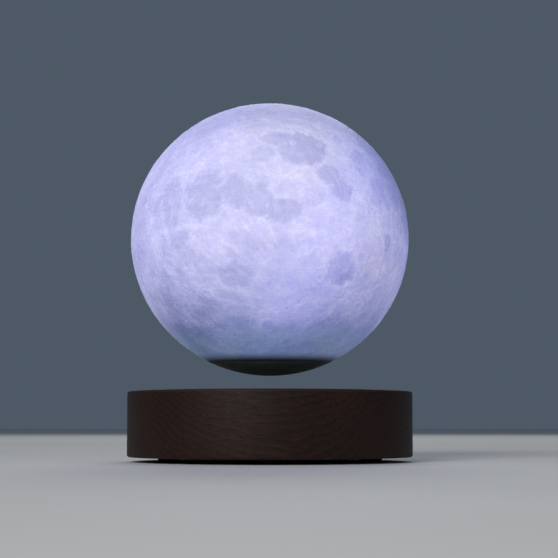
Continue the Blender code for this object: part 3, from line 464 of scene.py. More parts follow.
screw_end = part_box("cover_screw_1")[1].z
screw = pan_head_screw(COVER_SCREW_LENGTH)
screws = grow(
    "cover_screws",
    ring_of_parts,
    Part=screw,
    Count=len(cover_screw_nodes),
    Circle=COVER_SCREW_CIRCLE,
    Height=screw_end - COVER_SCREW_LENGTH,
    First_Angle=math.pi / len(cover_screw_nodes),
    Loose_Turn=math.tau,
    Seed=SCREW_SEED,
    Finish=zinc_steel,
)
bpy.data.objects.remove(screw)
fit(screws, "base", "zinc_steel", zinc_steel, *cover_screw_nodes)

# Driver board: a round fibreglass board under green solder mask, screwed to the cover's bosses. Two sleeved
# capacitors and the driver chip are soldered to its underside.

TRACK_MM, PAD_MM, WEAVE_MM = 3.2, 4.5, 1.2
EPOXY_GRAIN_MM, SLEEVE_GRAIN_MM = 0.4, 1.4
MASK_GREEN, MASK_TRACK, SOLDER = "#0F4A2A", "#1B6A3E", "#B9BDB8"
EPOXY_LIGHT, EPOXY_DARK = "#242427", "#161618"
SLEEVE_LIGHT, SLEEVE_DARK = "#1F2A4A", "#131A30"


def solder_masked_board():
    """Fibreglass under green solder mask: tracks show as paler, raised runs, and pads are tinned."""
    material, tree, shader, place = finish("solder_masked_board", Roughness=0.38)
    cells = add(tree, "TexVoronoi", pattern(place, TRACK_MM), distance="CHEBYCHEV")
    track = add(tree, "MapRange", (cells, 0.30, 0.38))
    weave = add(tree, "TexChecker", pattern(place, WEAVE_MM)).outputs["Fac"]
    pad = add(tree, "TexVoronoi", pattern(place, PAD_MM))
    pads = add(tree, "MapRange", (pad, 0.17, 0.14))
    mask = add(tree, "ValToRGB", {"Fac": track}, ((0.0, MASK_GREEN), (1.0, MASK_TRACK)))
    colour = add(tree, "Mix", {FACTOR: pads, UNDER: mask, OVER: linear(SOLDER)}, data_type="RGBA")
    cloth = add(tree, "Math", (weave, 0.15, track), operation="MULTIPLY_ADD")
    paint(tree, shader, colour, (track, 0.0, 1.0, 0.44, 0.32), cloth, depth=0.00005)
    return material


board_mask = solder_masked_board()
chip_epoxy = moulded("moulded_epoxy", EPOXY_LIGHT, EPOXY_DARK, EPOXY_GRAIN_MM, roughness=0.45)
sleeve = moulded("shrunk_pvc_sleeve", SLEEVE_LIGHT, SLEEVE_DARK, SLEEVE_GRAIN_MM, roughness=0.34)
dress(board_mask, "driver_board")
dress(zinc_steel, *numbered("board_screw"))
dress(sleeve, *numbered("driver_capacitor"))
dress(chip_epoxy, "driver_chip")

# Levitation drive: a ring magnet of sintered ferrite round four coils of enamelled copper wire, wound on
# nylon spools, with the position sensors cast in epoxy between them.

WIRE_MM, STAIN_MM, CRYSTAL_MM, GRINDING_DUST_MM, NYLON_GRAIN_MM = 0.45, 5, 0.5, 9, 0.8
FERRITE_LIGHT, FERRITE_DARK = "#3B3B3F", "#242427"
COPPER_LIGHT, COPPER_DARK = "#C8703C", "#7A3316"
NYLON_LIGHT, NYLON_DARK = "#E2DDD0", "#CFC8B8"


def sintered_ferrite():
    """Ferrite, pressed and fired: charcoal grey, with a fine crystalline sparkle and grinding dust."""
    material, tree, shader, place = finish("sintered_ferrite", Roughness=0.58)
    crystal = add(tree, "TexVoronoi", pattern(place, CRYSTAL_MM)).outputs["Color"]
    dust = add(tree, "TexNoise", pattern(place, GRINDING_DUST_MM, Detail=5.0))
    shade = add(tree, "SeparateXYZ", (crystal,))
    mixed = add(tree, "Math", (shade, dust), operation="MULTIPLY")
    colour = (mixed, (0.05, FERRITE_DARK), (0.6, FERRITE_LIGHT))
    paint(tree, shader, colour, (dust, *SWING, 0.48, 0.70), shade, depth=0.00003)
    return material


def enamelled_copper(name, layers):
    """Enamelled copper wire, each turn a glossy band: stacked up Z in BANDS, or side by side in RINGS."""
    enamel = {"Coat_Weight": 0.6, "Coat_Roughness": 0.12}
    material, tree, shader, place = finish(name, Metallic=1.0, Roughness=0.28, **enamel)
    turns = {"wave_type": layers, "bands_direction": "Z", "rings_direction": "Z"}
    wire = waves(place, WIRE_MM, Distortion=0.4, Detail_Scale=0.02)
    band = add(tree, "TexWave", wire, **turns).outputs["Fac"]
    stain = add(tree, "TexNoise", pattern(place, STAIN_MM, Detail=3.0))
    mixed = add(tree, "Math", (stain, 0.5, band), operation="MULTIPLY_ADD")
    colour = (mixed, (0.15, COPPER_DARK), (0.9, COPPER_LIGHT))
    paint(tree, shader, colour, (band, 0.0, 1.0, 0.42, 0.22), band, depth=0.0002, strength=0.6)
    return material


ferrite = sintered_ferrite()
stacked_turns = enamelled_copper("enamelled_copper_wound", "BANDS")
flat_turns = enamelled_copper("enamelled_copper_flat_wound", "RINGS")
white_nylon = moulded("natural_nylon", NYLON_LIGHT, NYLON_DARK, NYLON_GRAIN_MM, roughness=0.48)
dress(ferrite, "bias_magnet")
dress(white_nylon, *numbered("coil_spool"))
dress(stacked_turns, *numbered("coil_winding"))
dress(chip_epoxy, "hall_sensor_block")

# Power coil: one flat spiral of enamelled copper wire under the roof, which feeds the light in the globe
# through the air. The sintered ferrite ring under it keeps its field upwards.

dress(flat_turns, "power_coil")
dress(ferrite, "power_ferrite")

# Inlet: a barrel of black ABS through the rear wall, with a flange outside and a nickel-plated nut inside.
# Its plated pin stands in the bore, and two insulated wires run from it to the driver board.

JACK_BARREL_LENGTH, JACK_BORE_RADIUS, JACK_BORE_DEPTH = 0.0125, 0.0028, 0.0100
JACK_EDGE, JACK_MOUTH_EDGE = 0.0004, 0.0003
JACK_PIN_RADIUS, JACK_PIN_SETBACK, JACK_PIN_FLATS = 0.00105, 0.0010, 32
POLISH_MM, POLISH_SQUEEZE, PVC_GRAIN_MM = 2.5, (1.0, 1.0, 9.0), 1.0
NICKEL_LIGHT, NICKEL_DARK = "#C6C1B6", "#8F8A80"
RED_LIGHT, RED_DARK = "#A3201B", "#7C1512"
BLACK_LIGHT, BLACK_DARK = "#222224", "#141415"


def nickel_plate():
    """Bright nickel plate: warm silver, with faint polishing lines and dull specks."""
    material, tree, shader, place = finish("bright_nickel_plate", Metallic=1.0, Roughness=0.20)
    lines = add(tree, "Mapping", {"Vector": place, "Scale": POLISH_SQUEEZE})
    polish = add(tree, "TexNoise", pattern(lines, POLISH_MM, Detail=4.0))
    colour = (polish, (0.3, NICKEL_DARK), (0.6, NICKEL_LIGHT))
    paint(tree, shader, colour, (polish, *SWING, 0.14, 0.30), polish, depth=0.00001)
    return material


nickel = nickel_plate()
jack_face = SEAT_GAP + JACK_FLANGE_THICKNESS
bore_end, barrel_end = jack_face - JACK_BORE_DEPTH, -JACK_BARREL_LENGTH
pin_way = JACK_PIN_RADIUS + SEAT_GAP
outline = arc(jack_radius - JACK_EDGE, jack_face - JACK_EDGE, JACK_EDGE, 90, 0)
outline += [(jack_radius, SEAT_GAP), (JACK_BARREL_RADIUS, SEAT_GAP), (JACK_BARREL_RADIUS, barrel_end)]
outline += [(pin_way, barrel_end), (pin_way, bore_end), (JACK_BORE_RADIUS, bore_end)]
outline += arc(JACK_BORE_RADIUS + JACK_MOUTH_EDGE, jack_face - JACK_MOUTH_EDGE, JACK_MOUTH_EDGE, 180, 90)
inlet_barrel = turned("inlet_barrel", outline, HOLE_FLATS, jack_place, REARWARD)
fit(inlet_barrel, "base", "black_abs", black_abs, "dc_jack")
pin_tip = jack_face - JACK_PIN_SETBACK
outline = arc(0, pin_tip - JACK_PIN_RADIUS, JACK_PIN_RADIUS, 90, 0)
outline[0] = (0, pin_tip)
outline += [(JACK_PIN_RADIUS, barrel_end), (0, barrel_end)]
inlet_pin = turned("inlet_pin", outline, JACK_PIN_FLATS, jack_place, REARWARD)
fit(inlet_pin, "base", "nickel_plate", nickel, "dc_jack_pin")
dress(nickel, "dc_jack_nut")
red_pvc = moulded("red_pvc_insulation", RED_LIGHT, RED_DARK, PVC_GRAIN_MM, roughness=0.45)
dress(red_pvc, "jack_lead_plus")
black_pvc = moulded("black_pvc_insulation", BLACK_LIGHT, BLACK_DARK, PVC_GRAIN_MM, roughness=0.45)
dress(black_pvc, "jack_lead_minus")

# Push button: turned from aluminium and satin-anodised, with a shallow dish in its face, in a bezel of the
# same metal. Its stem works a small switch on the driver board through a plunger.

BUTTON_FLATS, BUTTON_DISH_STEPS = 96, 6
BEZEL_EDGE, BEZEL_BORE_EDGE = 0.0004, 0.0002
BEZEL_THICKNESS, BEZEL_TAIL = 0.0012, 0.0010
BUTTON_RADIUS, BUTTON_EDGE, BUTTON_PROUD, BUTTON_DISH = 0.0040, 0.0004, 0.0008, 0.0003
BUTTON_FLANGE_RADIUS, BUTTON_FLANGE_THICKNESS = 0.0049, 0.0010
STEM_RADIUS, STEM_END = 0.00175, -0.0148
# Lathe lines are 0.05 mm apart, too fine to show here, so they are drawn 0.35 mm apart
LATHE_LINE_MM, FILM_MM = 0.35, 3
ALUMINIUM_LIGHT, ALUMINIUM_DARK = "#C4C5C7", "#9A9B9E"


def turned_aluminium():
    """Satin-anodised aluminium: fine lathe lines round the button's axis, under a soft grey film."""
    material, tree, shader, place = finish("satin_anodised_aluminium", Metallic=1.0, Roughness=0.34)
    spin = Vector((0, 0, 1)).rotation_difference(button_way).to_euler()
    centring = {"Vector": place, "Location": button_place, "Rotation": spin}
    own = add(tree, "Mapping", centring, vector_type="TEXTURE")
    lines = waves(own, LATHE_LINE_MM, Distortion=1.5, Detail_Scale=0.3)
    line = add(tree, "TexWave", lines, wave_type="RINGS", rings_direction="Z").outputs["Fac"]
    film = add(tree, "TexNoise", pattern(own, FILM_MM, Detail=3.0))
    mixed = add(tree, "Math", (film, 0.8, line), operation="MULTIPLY_ADD")
    colour = (mixed, (0.2, ALUMINIUM_DARK), (1.0, ALUMINIUM_LIGHT))
    paint(tree, shader, colour, (film, *SWING, 0.28, 0.42), line, depth=0.00002)
    return material


aluminium = turned_aluminium()
bezel_back = SEAT_GAP - BEZEL_RECESS
bezel_face = bezel_back + BEZEL_THICKNESS
sleeve_end = -BASE_WALL - BEZEL_TAIL
bore = BUTTON_RADIUS + SEAT_GAP
outline = arc(bezel_radius - BEZEL_EDGE, bezel_face - BEZEL_EDGE, BEZEL_EDGE, 90, 0)
outline += [(bezel_radius, bezel_back), (BEZEL_SLEEVE_RADIUS, bezel_back)]
outline += [(BEZEL_SLEEVE_RADIUS, sleeve_end), (bore, sleeve_end)]
outline += arc(bore + BEZEL_BORE_EDGE, bezel_face - BEZEL_BORE_EDGE, BEZEL_BORE_EDGE, 180, 90)
bezel = turned("bezel_ring", outline, BUTTON_FLATS, button_place, button_way)
fit(bezel, "base", "satin_aluminium", aluminium, "button_bezel")
button_face = bezel_face + BUTTON_PROUD
flange_top = sleeve_end - SEAT_GAP
flange_end = flange_top - BUTTON_FLANGE_THICKNESS
outline = [(0, button_face - BUTTON_DISH)]
for step in range(1, BUTTON_DISH_STEPS):
    share = step / BUTTON_DISH_STEPS
    reach = (BUTTON_RADIUS - BUTTON_EDGE * 2) * share
    outline.append((reach, button_face - BUTTON_DISH * (1 - share**2)))
outline += arc(BUTTON_RADIUS - BUTTON_EDGE, button_face - BUTTON_EDGE, BUTTON_EDGE, 90, 0)
outline += [(BUTTON_RADIUS, flange_top), (BUTTON_FLANGE_RADIUS, flange_top)]
outline += [(BUTTON_FLANGE_RADIUS, flange_end), (STEM_RADIUS, flange_end)]
outline += [(STEM_RADIUS, STEM_END), (0, STEM_END)]
push_button = turned("push_button", outline, BUTTON_FLATS, button_place, button_way)
fit(push_button, "light_button", "satin_aluminium", aluminium, "light_button")
dress(black_abs, "switch_plunger")
dress(chip_epoxy, "switch_body")

# Moon shell: printed in one piece from white PLA, its wall thicker where the moon's plains are dark, so that
# the light inside draws the moon. Craters and highlands stand in low relief on its outside.

MOON_COLUMNS, MOON_OUTER_ROWS, MOON_INNER_ROWS = 448, 188, 20
MOON_WALL, OPENING_RADIUS = 0.0020, 0.0305
RELIEF_DEPTH, SMOOTH_LIP_SHARE = 0.00042, 0.03
PLAINS_DEPTH_SHARE, BOWL_SHARE, RIM_SHARE = 0.30, 0.55, 0.35
HIGHLAND_MM, HIGHLAND_ROUGH_SHARE, PLAIN_ROUGH_SHARE = 5.0, 0.45, 0.045
# Craters: the spacing of their centres in mm, and the largest one's radius as a share of it
CRATERS = ((12.0, 0.34), (5.0, 0.36), (2.4, 0.40))
CARVED_CRATERS, SMALLEST_CRATER, CRATER_RARITY = 2, 0.08, 2.0
# A crater's floor, and its rim's crest and half width, as shares of its radius
CRATER_FLOOR, CRATER_CREST, CRATER_RIM_WIDTH = 0.6, 1.12, 0.32
# The swing of each bend in the plains' shores, and how wide it is in mm
SHORE_BENDS = ((0.0076, 15.0), (0.0048, 4.0))
# Reaches are shares of the way from a plain's middle to its shore: where its slope starts and ends, where its
# strength fades out, the bank between two plains, and what counts as far from all of them
SLOPE_STARTS, SLOPE_ENDS, SHORE_FADE = 1.15, 0.8, 1.6
DIVIDE_WIDTH_SHARE, DIVIDE_REACH, FAR_OFF = 0.14, 1.15, 9.0
FAR_SIDE_MM, FAR_SIDE_LEVELS, FAR_SIDE_REACHES, FAR_SIDE_STRENGTH = 46.0, (0.44, 0.64), (2.0, 0.2), 0.8
# The plains of the front are placed, those of the far side take over between these depths, as shares
FRONT_ENDS, FRONT_STARTS, FRONT_HOLD = 0.0, -0.60, 2.6
MOON_PLACE_IN_NOISE = (0.31, 0.17, 0.53)
# Plains seen from the front: degrees right and up of the middle, half width and half height in mm, strength
PLAINS = (
    (15, 32, 13.6, 10.2, 0.90),
    (5, 36, 10.0, 4.6, 0.55),
    (25, 20, 6.4, 4.6, 0.74),
    (30, 14, 7.0, 6.4, 0.84),
    (17, 10, 7.0, 4.6, 0.40),
    (-42, 10, 6.4, 13.5, 0.55),
    (-27, 12, 11.0, 12.6, 0.76),
    (-13, 12, 8.0, 8.8, 0.80),
    (-4, 8, 8.2, 7.4, 0.62),
    (5, 5, 10.0, 6.4, 0.76),
    (-3, 28, 6.0, 5.0, 0.42),
    (30, -17, 8.6, 8.2, 0.86),
    (54, -5, 2.4, 4.6, 0.90),
    (44, 28, 4.6, 8.4, 0.62),
    (50, 15, 4.8, 9.0, 0.60),
    (64, 40, 9.0, 10.0, 0.55),
    (76, 6, 7.0, 12.0, 0.40),
    (-13, -20, 8.8, 5.6, 0.60),
    (-30, -20, 6.0, 4.6, 0.24),
    (-6, -10, 8.0, 6.0, 0.24),
    (-37, -5, 7.0, 5.0, 0.36),
)


def facing(right, rise):
    """The direction that lies some degrees to the right of the front and some degrees up."""
    right, rise = math.radians(right), math.radians(rise)
    return Vector((math.sin(right) * math.cos(rise), -math.cos(right) * math.cos(rise), math.sin(rise)))


def oval(tree, spot, right, rise, half_width, half_height):
    """How far a spot is from an oval's middle, as a share of the way to the oval's edge."""
    halves = Vector((half_width, (half_width + half_height) / 2, half_height)) / 1000
    off = add(tree, "VectorMath", (spot, facing(right, rise) * globe_radius), operation="SUBTRACT")
    shares = add(tree, "VectorMath", (off, halves), operation="DIVIDE")
    return add(tree, "VectorMath", (shares,), operation="LENGTH")


def wander(tree, spot, reach, size_mm):
    """A place moved about by a noise, up to half a reach either way."""
    sway = add(tree, "TexNoise", pattern(spot, size_mm, Detail=3.0)).outputs["Color"]
    middled = add(tree, "VectorMath", (sway, (0.5, 0.5, 0.5)), operation="SUBTRACT")
    return add(tree, "VectorMath", (middled, (reach, reach, reach), spot), operation="MULTIPLY_ADD")


def crest(tree, field, level, half_width):
    """A line where a field is at a level: 1 on it, and less to either side."""
    off_level = add(tree, "Math", (add(tree, "Math", (field, -level)),), operation="ABSOLUTE")
    return add(tree, "MapRange", (off_level, half_width, 0.0), interpolation_type="SMOOTHSTEP")


def crater_field(tree, spot, spacing_mm, largest):
    """The bowls and the raised rims of craters scattered over cells, of which most hold only a small one."""
    cell = add(tree, "TexVoronoi", pattern(spot, spacing_mm))
    luck = add(tree, "SeparateXYZ", (cell.outputs["Color"],))
    chance = add(tree, "Math", (luck, CRATER_RARITY), operation="POWER")
    size = add(tree, "MapRange", (chance, 0.0, 1.0, SMALLEST_CRATER, largest))
    reach = add(tree, "Math", (cell, size), operation="DIVIDE")
    bowl = add(tree, "MapRange", (reach, 1.0, CRATER_FLOOR), interpolation_type="SMOOTHSTEP")
    return bowl, crest(tree, reach, CRATER_CREST, CRATER_RIM_WIDTH)


def moon_tree():
    """A tree that lays a grid over the globe, both walls in one sheet, and carves the outer one."""
    kinds = dict.fromkeys(("Radius", "Half Height", "Opening", "Wall", "Relief", "Centre Height"), "Float")
    kinds.update(dict.fromkeys(("Columns", "Outer Rows", "Inner Rows"), "Int"))
    kinds.update({"Place in Noise": "Vector", "Finish": "Material"})
    tree, given = open_tree("moon_shell", kinds)

    # The sheet runs from the inner wall's top down to the mouth, over the rim and up to the outer wall's top
    first_outer = add(tree, "Math", (given["Inner Rows"], 1.0))
    rows = add(tree, "Math", (given["Outer Rows"], first_outer))
    columns = add(tree, "Math", (given["Columns"], 1.0))
    lines = add(tree, "Math", (rows, 1.0))
    grid = add(tree, "GeometryNodeMeshGrid", {"Vertices X": columns, "Vertices Y": lines})
    flat = add(tree, "SeparateXYZ", (add(tree, "GeometryNodeInputPosition"),)).outputs
    turn = add(tree, "Math", (flat["X"], math.tau, -math.pi / 2), operation="MULTIPLY_ADD")
    row = add(tree, "MapRange", (flat["Y"], -0.5, 0.5, 0.0, rows))
    edge = add(tree, "Math", (given["Inner Rows"], 0.5))
    outside = add(tree, "Math", (row, edge), operation="GREATER_THAN")
    inner_climb = add(tree, "MapRange", (row, 0.0, given["Inner Rows"], 1.0, 0.0))
    outer_climb = add(tree, "MapRange", (row, first_outer, rows, 0.0, 1.0))
    climb = add(tree, "Mix", {FACTOR: outside, FROM: inner_climb, TO: outer_climb}, data_type="FLOAT")
    inside = add(tree, "Math", (outside, 1.0), operation="SUBTRACT")
    radius = add(tree, "Math", (inside, given["Wall"], given["Radius"]), operation="MULTIPLY_ADD")
    height = add(tree, "Math", (inside, given["Wall"], given["Half Height"]), operation="MULTIPLY_ADD")
    mouth = add(tree, "Math", (given["Opening"], radius), operation="DIVIDE")
    mouth_tilt = add(tree, "Math", (mouth,), operation="ARCCOSINE")
    tilt = add(tree, "MapRange", (climb, 0.0, 1.0, mouth_tilt, -math.pi / 2))
    upright = add(tree, "VectorRotate", {"Vector": (1, 0, 0), "Angle": tilt}, rotation_type="Y_AXIS")
    size = add(tree, "CombineXYZ", {"X": radius, "Z": height})
    profile = add(tree, "VectorMath", (upright, size), operation="MULTIPLY")
    spot = add(tree, "VectorRotate", {"Vector": profile, "Angle": turn}, rotation_type="Z_AXIS")

    # Each plain is an oval, whose shore a wide bend and a fine fray move
    shore = spot
    for bend, bend_mm in SHORE_BENDS:
        shore = wander(tree, shore, bend, bend_mm)
    reach, next_reach, strength = FAR_OFF, FAR_OFF, 0.0
    for *shape, full in PLAINS:
        own = oval(tree, shore, *shape)
        farther = add(tree, "Math", (reach, own), operation="MAXIMUM")
        next_reach = add(tree, "Math", (next_reach, farther), operation="MINIMUM")
        reach = add(tree, "Math", (reach, own), operation="MINIMUM")
        near = add(tree, "MapRange", (own, SHORE_FADE, 1.0, 0.0, full))
        strength = add(tree, "Math", (strength, near), operation="MAXIMUM")
    # A bank is left standing where two plains meet
    lead = add(tree, "Math", (next_reach, reach), operation="SUBTRACT")
    divide = add(tree, "MapRange", (lead, 0.0, DIVIDE_WIDTH_SHARE, DIVIDE_REACH, 0.0))
    reach = add(tree, "Math", (reach, divide), operation="MAXIMUM")
    # The sides and the back carry plains of their own, wherever a wide noise runs high
    across = add(tree, "VectorMath", (shore, given["Place in Noise"]), operation="ADD")
    wide = add(tree, "TexNoise", pattern(across, FAR_SIDE_MM, Detail=1.0))
    depth = add(tree, "SeparateXYZ", (shore,)).outputs["Y"]
    ends, starts = FRONT_ENDS * globe_radius, FRONT_STARTS * globe_radius
    front = add(tree, "MapRange", (depth, ends, starts, 0.0, FRONT_HOLD))
    own = add(tree, "MapRange", (wide, *FAR_SIDE_LEVELS, *FAR_SIDE_REACHES))
    own = add(tree, "Math", (own, front))
    reach = add(tree, "Math", (reach, own), operation="MINIMUM")
    near = add(tree, "MapRange", (own, SHORE_FADE, 1.0, 0.0, FAR_SIDE_STRENGTH))
    strength = add(tree, "Math", (strength, near), operation="MAXIMUM")

    # Plains lie low, and highlands are rough and cratered
    plain = add(tree, "MapRange", (reach, SLOPE_STARTS, SLOPE_ENDS), interpolation_type="SMOOTHSTEP")
    highland = add(tree, "TexNoise", pattern(spot, HIGHLAND_MM, Detail=4.0))
    wildness = add(tree, "MapRange", (plain, 0.0, 1.0, HIGHLAND_ROUGH_SHARE, PLAIN_ROUGH_SHARE))
    depths = [(plain, PLAINS_DEPTH_SHARE), (highland, wildness)]
    for spacing_mm, largest in CRATERS[:CARVED_CRATERS]:
        bowl, rim = crater_field(tree, spot, spacing_mm, largest)
        depths += [(bowl, BOWL_SHARE), (rim, -RIM_SHARE)]
    # The ground starts a rim's height below the outermost surface. The inner wall and the mouth stay smooth
    carved = add(tree, "Math", (weigh(tree, RIM_SHARE, depths), 0.0), operation="MAXIMUM")
    smoothed = add(tree, "MapRange", (outer_climb, 0.0, SMOOTH_LIP_SHARE), interpolation_type="SMOOTHSTEP")
    for factor in (given["Relief"], smoothed, outside, -1.0):
        carved = add(tree, "Math", (carved, factor), operation="MULTIPLY")
    outward = add(tree, "VectorMath", (spot,), operation="NORMALIZE")
    carving = add(tree, "VectorMath", {0: outward, "Scale": carved}, operation="SCALE")
    carved_spot = add(tree, "VectorMath", (spot, carving), operation="ADD")
    centre = add(tree, "CombineXYZ", {"Z": given["Centre Height"]})
    place = add(tree, "VectorMath", (carved_spot, centre), operation="ADD")

    sheet = grid.outputs["Mesh"]
    for name, value in (("reach", reach), ("strength", strength)):
        stored = {"Geometry": sheet, "Name": name, "Value": value}
        sheet = add(tree, "GeometryNodeStoreNamedAttribute", stored, data_type="FLOAT", domain="POINT")
    shaped = add(tree, "GeometryNodeSetPosition", {"Geometry": sheet, "Position": place})
    closed = add(tree, "GeometryNodeMergeByDistance", {"Geometry": shaped, "Distance": MERGE_DISTANCE})
    close_tree(tree, add(tree, "GeometryNodeSetShadeSmooth", {"Geometry": closed}), given["Finish"])
    return tree


cap_low, cap_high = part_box("bottom_cap")
globe_radius, _, globe_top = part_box("moon_shell")[1]
globe_half_height = (globe_top - cap_low.z) / 2
globe_centre = Vector((0, 0, cap_low.z + globe_half_height))

GLOW_STRENGTH, GLOW_BASE = 0.50, 0.53
# Clouds of thicker and thinner wall: size in mm, detail, roughness
CLOUDS = {
    "broad": (26.0, 3.0, 0.55),
    "mottle": (7.0, 9.0, 0.66),
    "speck": (1.5, 3.0, 0.60),
    "fray": (3.2, 5.0, 0.70),
}
# What each pattern weighs in the tone
BROAD_WEIGHT, MOTTLE_WEIGHT, SPECK_WEIGHT, STREAK_WEIGHT = 0.40, 0.50, 0.22, 0.18
PLAIN_WEIGHT, BANK_WEIGHT, LAYER_WEIGHT, CRATER_WEIGHTS = -0.32, 0.06, 0.02, (0.022, 0.035, 0.050)
# Hairlines: the size in mm of the cloud whose middle level each set follows
HAIRLINES_MM, HAIRLINE_WIDTH_MM, HAIRLINE_BEND, HAIRLINE_BEND_MM = (17.0, 10.0, 6.0), 0.30, 0.020, 18.0
HAIRLINE_LEVELS, HAIRLINE_STRENGTH = (-0.12, 0.16), 0.13
# Streaks run round the globe's sides, top and bottom as seen from the front: their width in depth, how much
# they are drawn out across and up, and how far and how widely they bend
STREAK_MM, STREAK_SQUEEZE, STREAK_BEND, STREAK_BEND_MM = 2.6, (0.16, 1.0, 0.16), 0.007, 16.0
# In the glow a shore frays by this reach, sinks between two more, and has a thin bright bank outside it
FRAY_REACH, SHORE_OUTER, SHORE_INNER, BANK, BANK_WIDTH = 1.00, 1.14, 0.78, 1.20, 0.10
# The plains' floors are darker and paler in patches
PATCH_LEVELS, PATCH_SHARES = (-0.2, 0.2), (0.45, 1.50)
# The ground is calm about a spot of the front, in degrees right and up of the middle, and wilder away from it
CALM_SPOT, CALM_REACH_SHARE, WILD_REACH_SHARE, WILD_GAIN = (0, 16), 0.30, 1.05, 3.0
# Hazes dim or brighten wide ovals, given as the plains are, each with its weight in the tone. A haze is full
# within this share of its oval
HAZE_CORE = 0.4
HAZES = (
    (-16, 14, 40.0, 24.0, -0.08),
    (-48, -38, 34.0, 24.0, -0.38),
    (-24, -12, 26.0, 18.0, -0.12),
    (-48, 34, 30.0, 26.0, -0.14),
    (-30, 52, 30.0, 18.0, -0.08),
    (-60, -4, 36.0, 40.0, -0.14),
    (36, 52, 22.0, 14.0, -0.08),
    (42, 0, 20.0, 28.0, 0.09),
    (18, -14, 22.0, 16.0, 0.15),
    (2, -44, 14.0, 9.0, 0.12),
    (-26, -32, 20.0, 14.0, -0.10),
    (20, -60, 48.0, 24.0, 0.22),
)
# A ray runs where a noise over the heading from its crater is high, and drifts a little on its way out
RAY_TURN_SCALE, RAY_DRIFT, RAY_LEVELS = 13.0, 4.0, (0.45, 0.68)
# A print's layers are 0.2 mm thick, too fine to show here, so they are drawn 1.6 mm thick
LAYER_MM, LAYER_BUMP_SHARE = 1.6, 0.25
# The glow through thick, middling and thin wall
GLOW_TONES = ((0.10, "#A3A3D1"), (0.55, "#CAC7F1"), (0.95, "#E6E1FA"))
# The lip round the opening lets hardly any light through, and the wall's colour there is painted dark as
# shade. It sets in between these heights from the centre
LIP_GLOW, LIP_PAINTED_SHADE = "#050607", "#34352F"
LIP_TOP, LIP_BOTTOM = -0.0600, -0.0646
# How much light leaves the wall, from the cap, which shades it, to the top, and how far its levels wander
FALL_WANDER = 0.030
FALL_STOPS = (
    (0.05, "#9FBAC6"),
    (0.12, "#A9C0CD"),
    (0.16, "#AFBFD3"),
    (0.20, "#CCD4E4"),
    (0.26, "#E0E4F0"),
    (0.34, "#E9EBF4"),
    (0.40, "#F1F1F8"),
    (0.48, "#FFFFFF"),
    (0.82, "#FFFFFF"),
    (0.93, "#DADDEB"),
    (1.00, "#C2C8DE"),
)
# Painted shade: the glow and the wall's colour are dimmed and cooled on one side, above the middle
PAINTED_SHADE_SIDE = Vector((0.87, 0, 0.49))
SIDE_SHADE_STOPS = ((0.78, "#FFFFFF"), (0.88, "#F3F7FF"), (0.93, "#D2DBEC"), (0.97, "#BAC5D7"), (1.00, "#B2BDCF"))
# The glow's hue from the upper left to the lower right: cooler at both, and warmest left of the middle
HUE_WAY = Vector((0.87, 0, -0.49))
HUE_STOPS = (
    (0.02, "#E2E2F4"),
    (0.15, "#E2E2EE"),
    (0.28, "#E2E2DB"),
    (0.50, "#E2E2DD"),
    (0.59, "#E2E2EA"),
    (0.66, "#E2E2FC"),
    (0.76, "#E2E2FC"),
    (0.86, "#E2E2F0"),
)
# Young craters that throw bright rays: degrees right and up of the middle, reach in mm, strength
RAYS = (
    (18, -32, 90.0, 0.12),
    (33, 2, 44.0, 0.10),
    (-20, 24, 34.0, 0.10),
    (-94, 4, 140.0, 0.10),
    (92, -6, 140.0, 0.09),
    (165, 26, 120.0, 0.16),
    (-150, -34, 110.0, 0.14),
)
# Young craters whose rim shines as a ring: degrees right and up of the middle, radius in mm
RINGS = ((11.2, 34.6, 1.4), (24.3, 34.2, 1.5), (140.0, 20.0, 1.8))
RING_WIDTH_MM, RING_STRENGTH = 0.9, 0.20


def ray_field(tree, spot, way, reach_mm):
    """Bright streaks that run out from a young crater, clearest half way along their reach."""
    off = add(tree, "VectorMath", (spot, way * globe_radius), operation="SUBTRACT")
    lift = add(tree, "VectorMath", (off, way), operation="DOT_PRODUCT")
    lifted = add(tree, "VectorMath", {0: way, "Scale": lift}, operation="SCALE")
    level = add(tree, "VectorMath", (off, lifted), operation="SUBTRACT")
    heading = add(tree, "VectorMath", (level,), operation="NORMALIZE")
    bent = add(tree, "VectorMath", (off, (RAY_DRIFT,) * 3, heading), operation="MULTIPLY_ADD")
    turn = {"Vector": bent, "Scale": RAY_TURN_SCALE, "Detail": 4.0, "Roughness": 0.6}
    streak = add(tree, "TexNoise", turn)
    bright = add(tree, "MapRange", (streak, *RAY_LEVELS), interpolation_type="SMOOTHSTEP")
    distance = add(tree, "VectorMath", (off,), operation="LENGTH")
    half_way = reach_mm / 2000
    return add(tree, "Math", (bright, crest(tree, distance, half_way, half_way)), operation="MULTIPLY")


def dimmed(tree, colour, along, stops):
    """A colour times a ramp of colours that runs from one side of the globe to the other."""
    share = add(tree, "MapRange", (along, -globe_radius, globe_radius))
    fall = add(tree, "ValToRGB", {"Fac": share}, stops)
    return add(tree, "Mix", {FACTOR: 1.0, UNDER: colour, OVER: fall}, data_type="RGBA", blend_type="MULTIPLY")


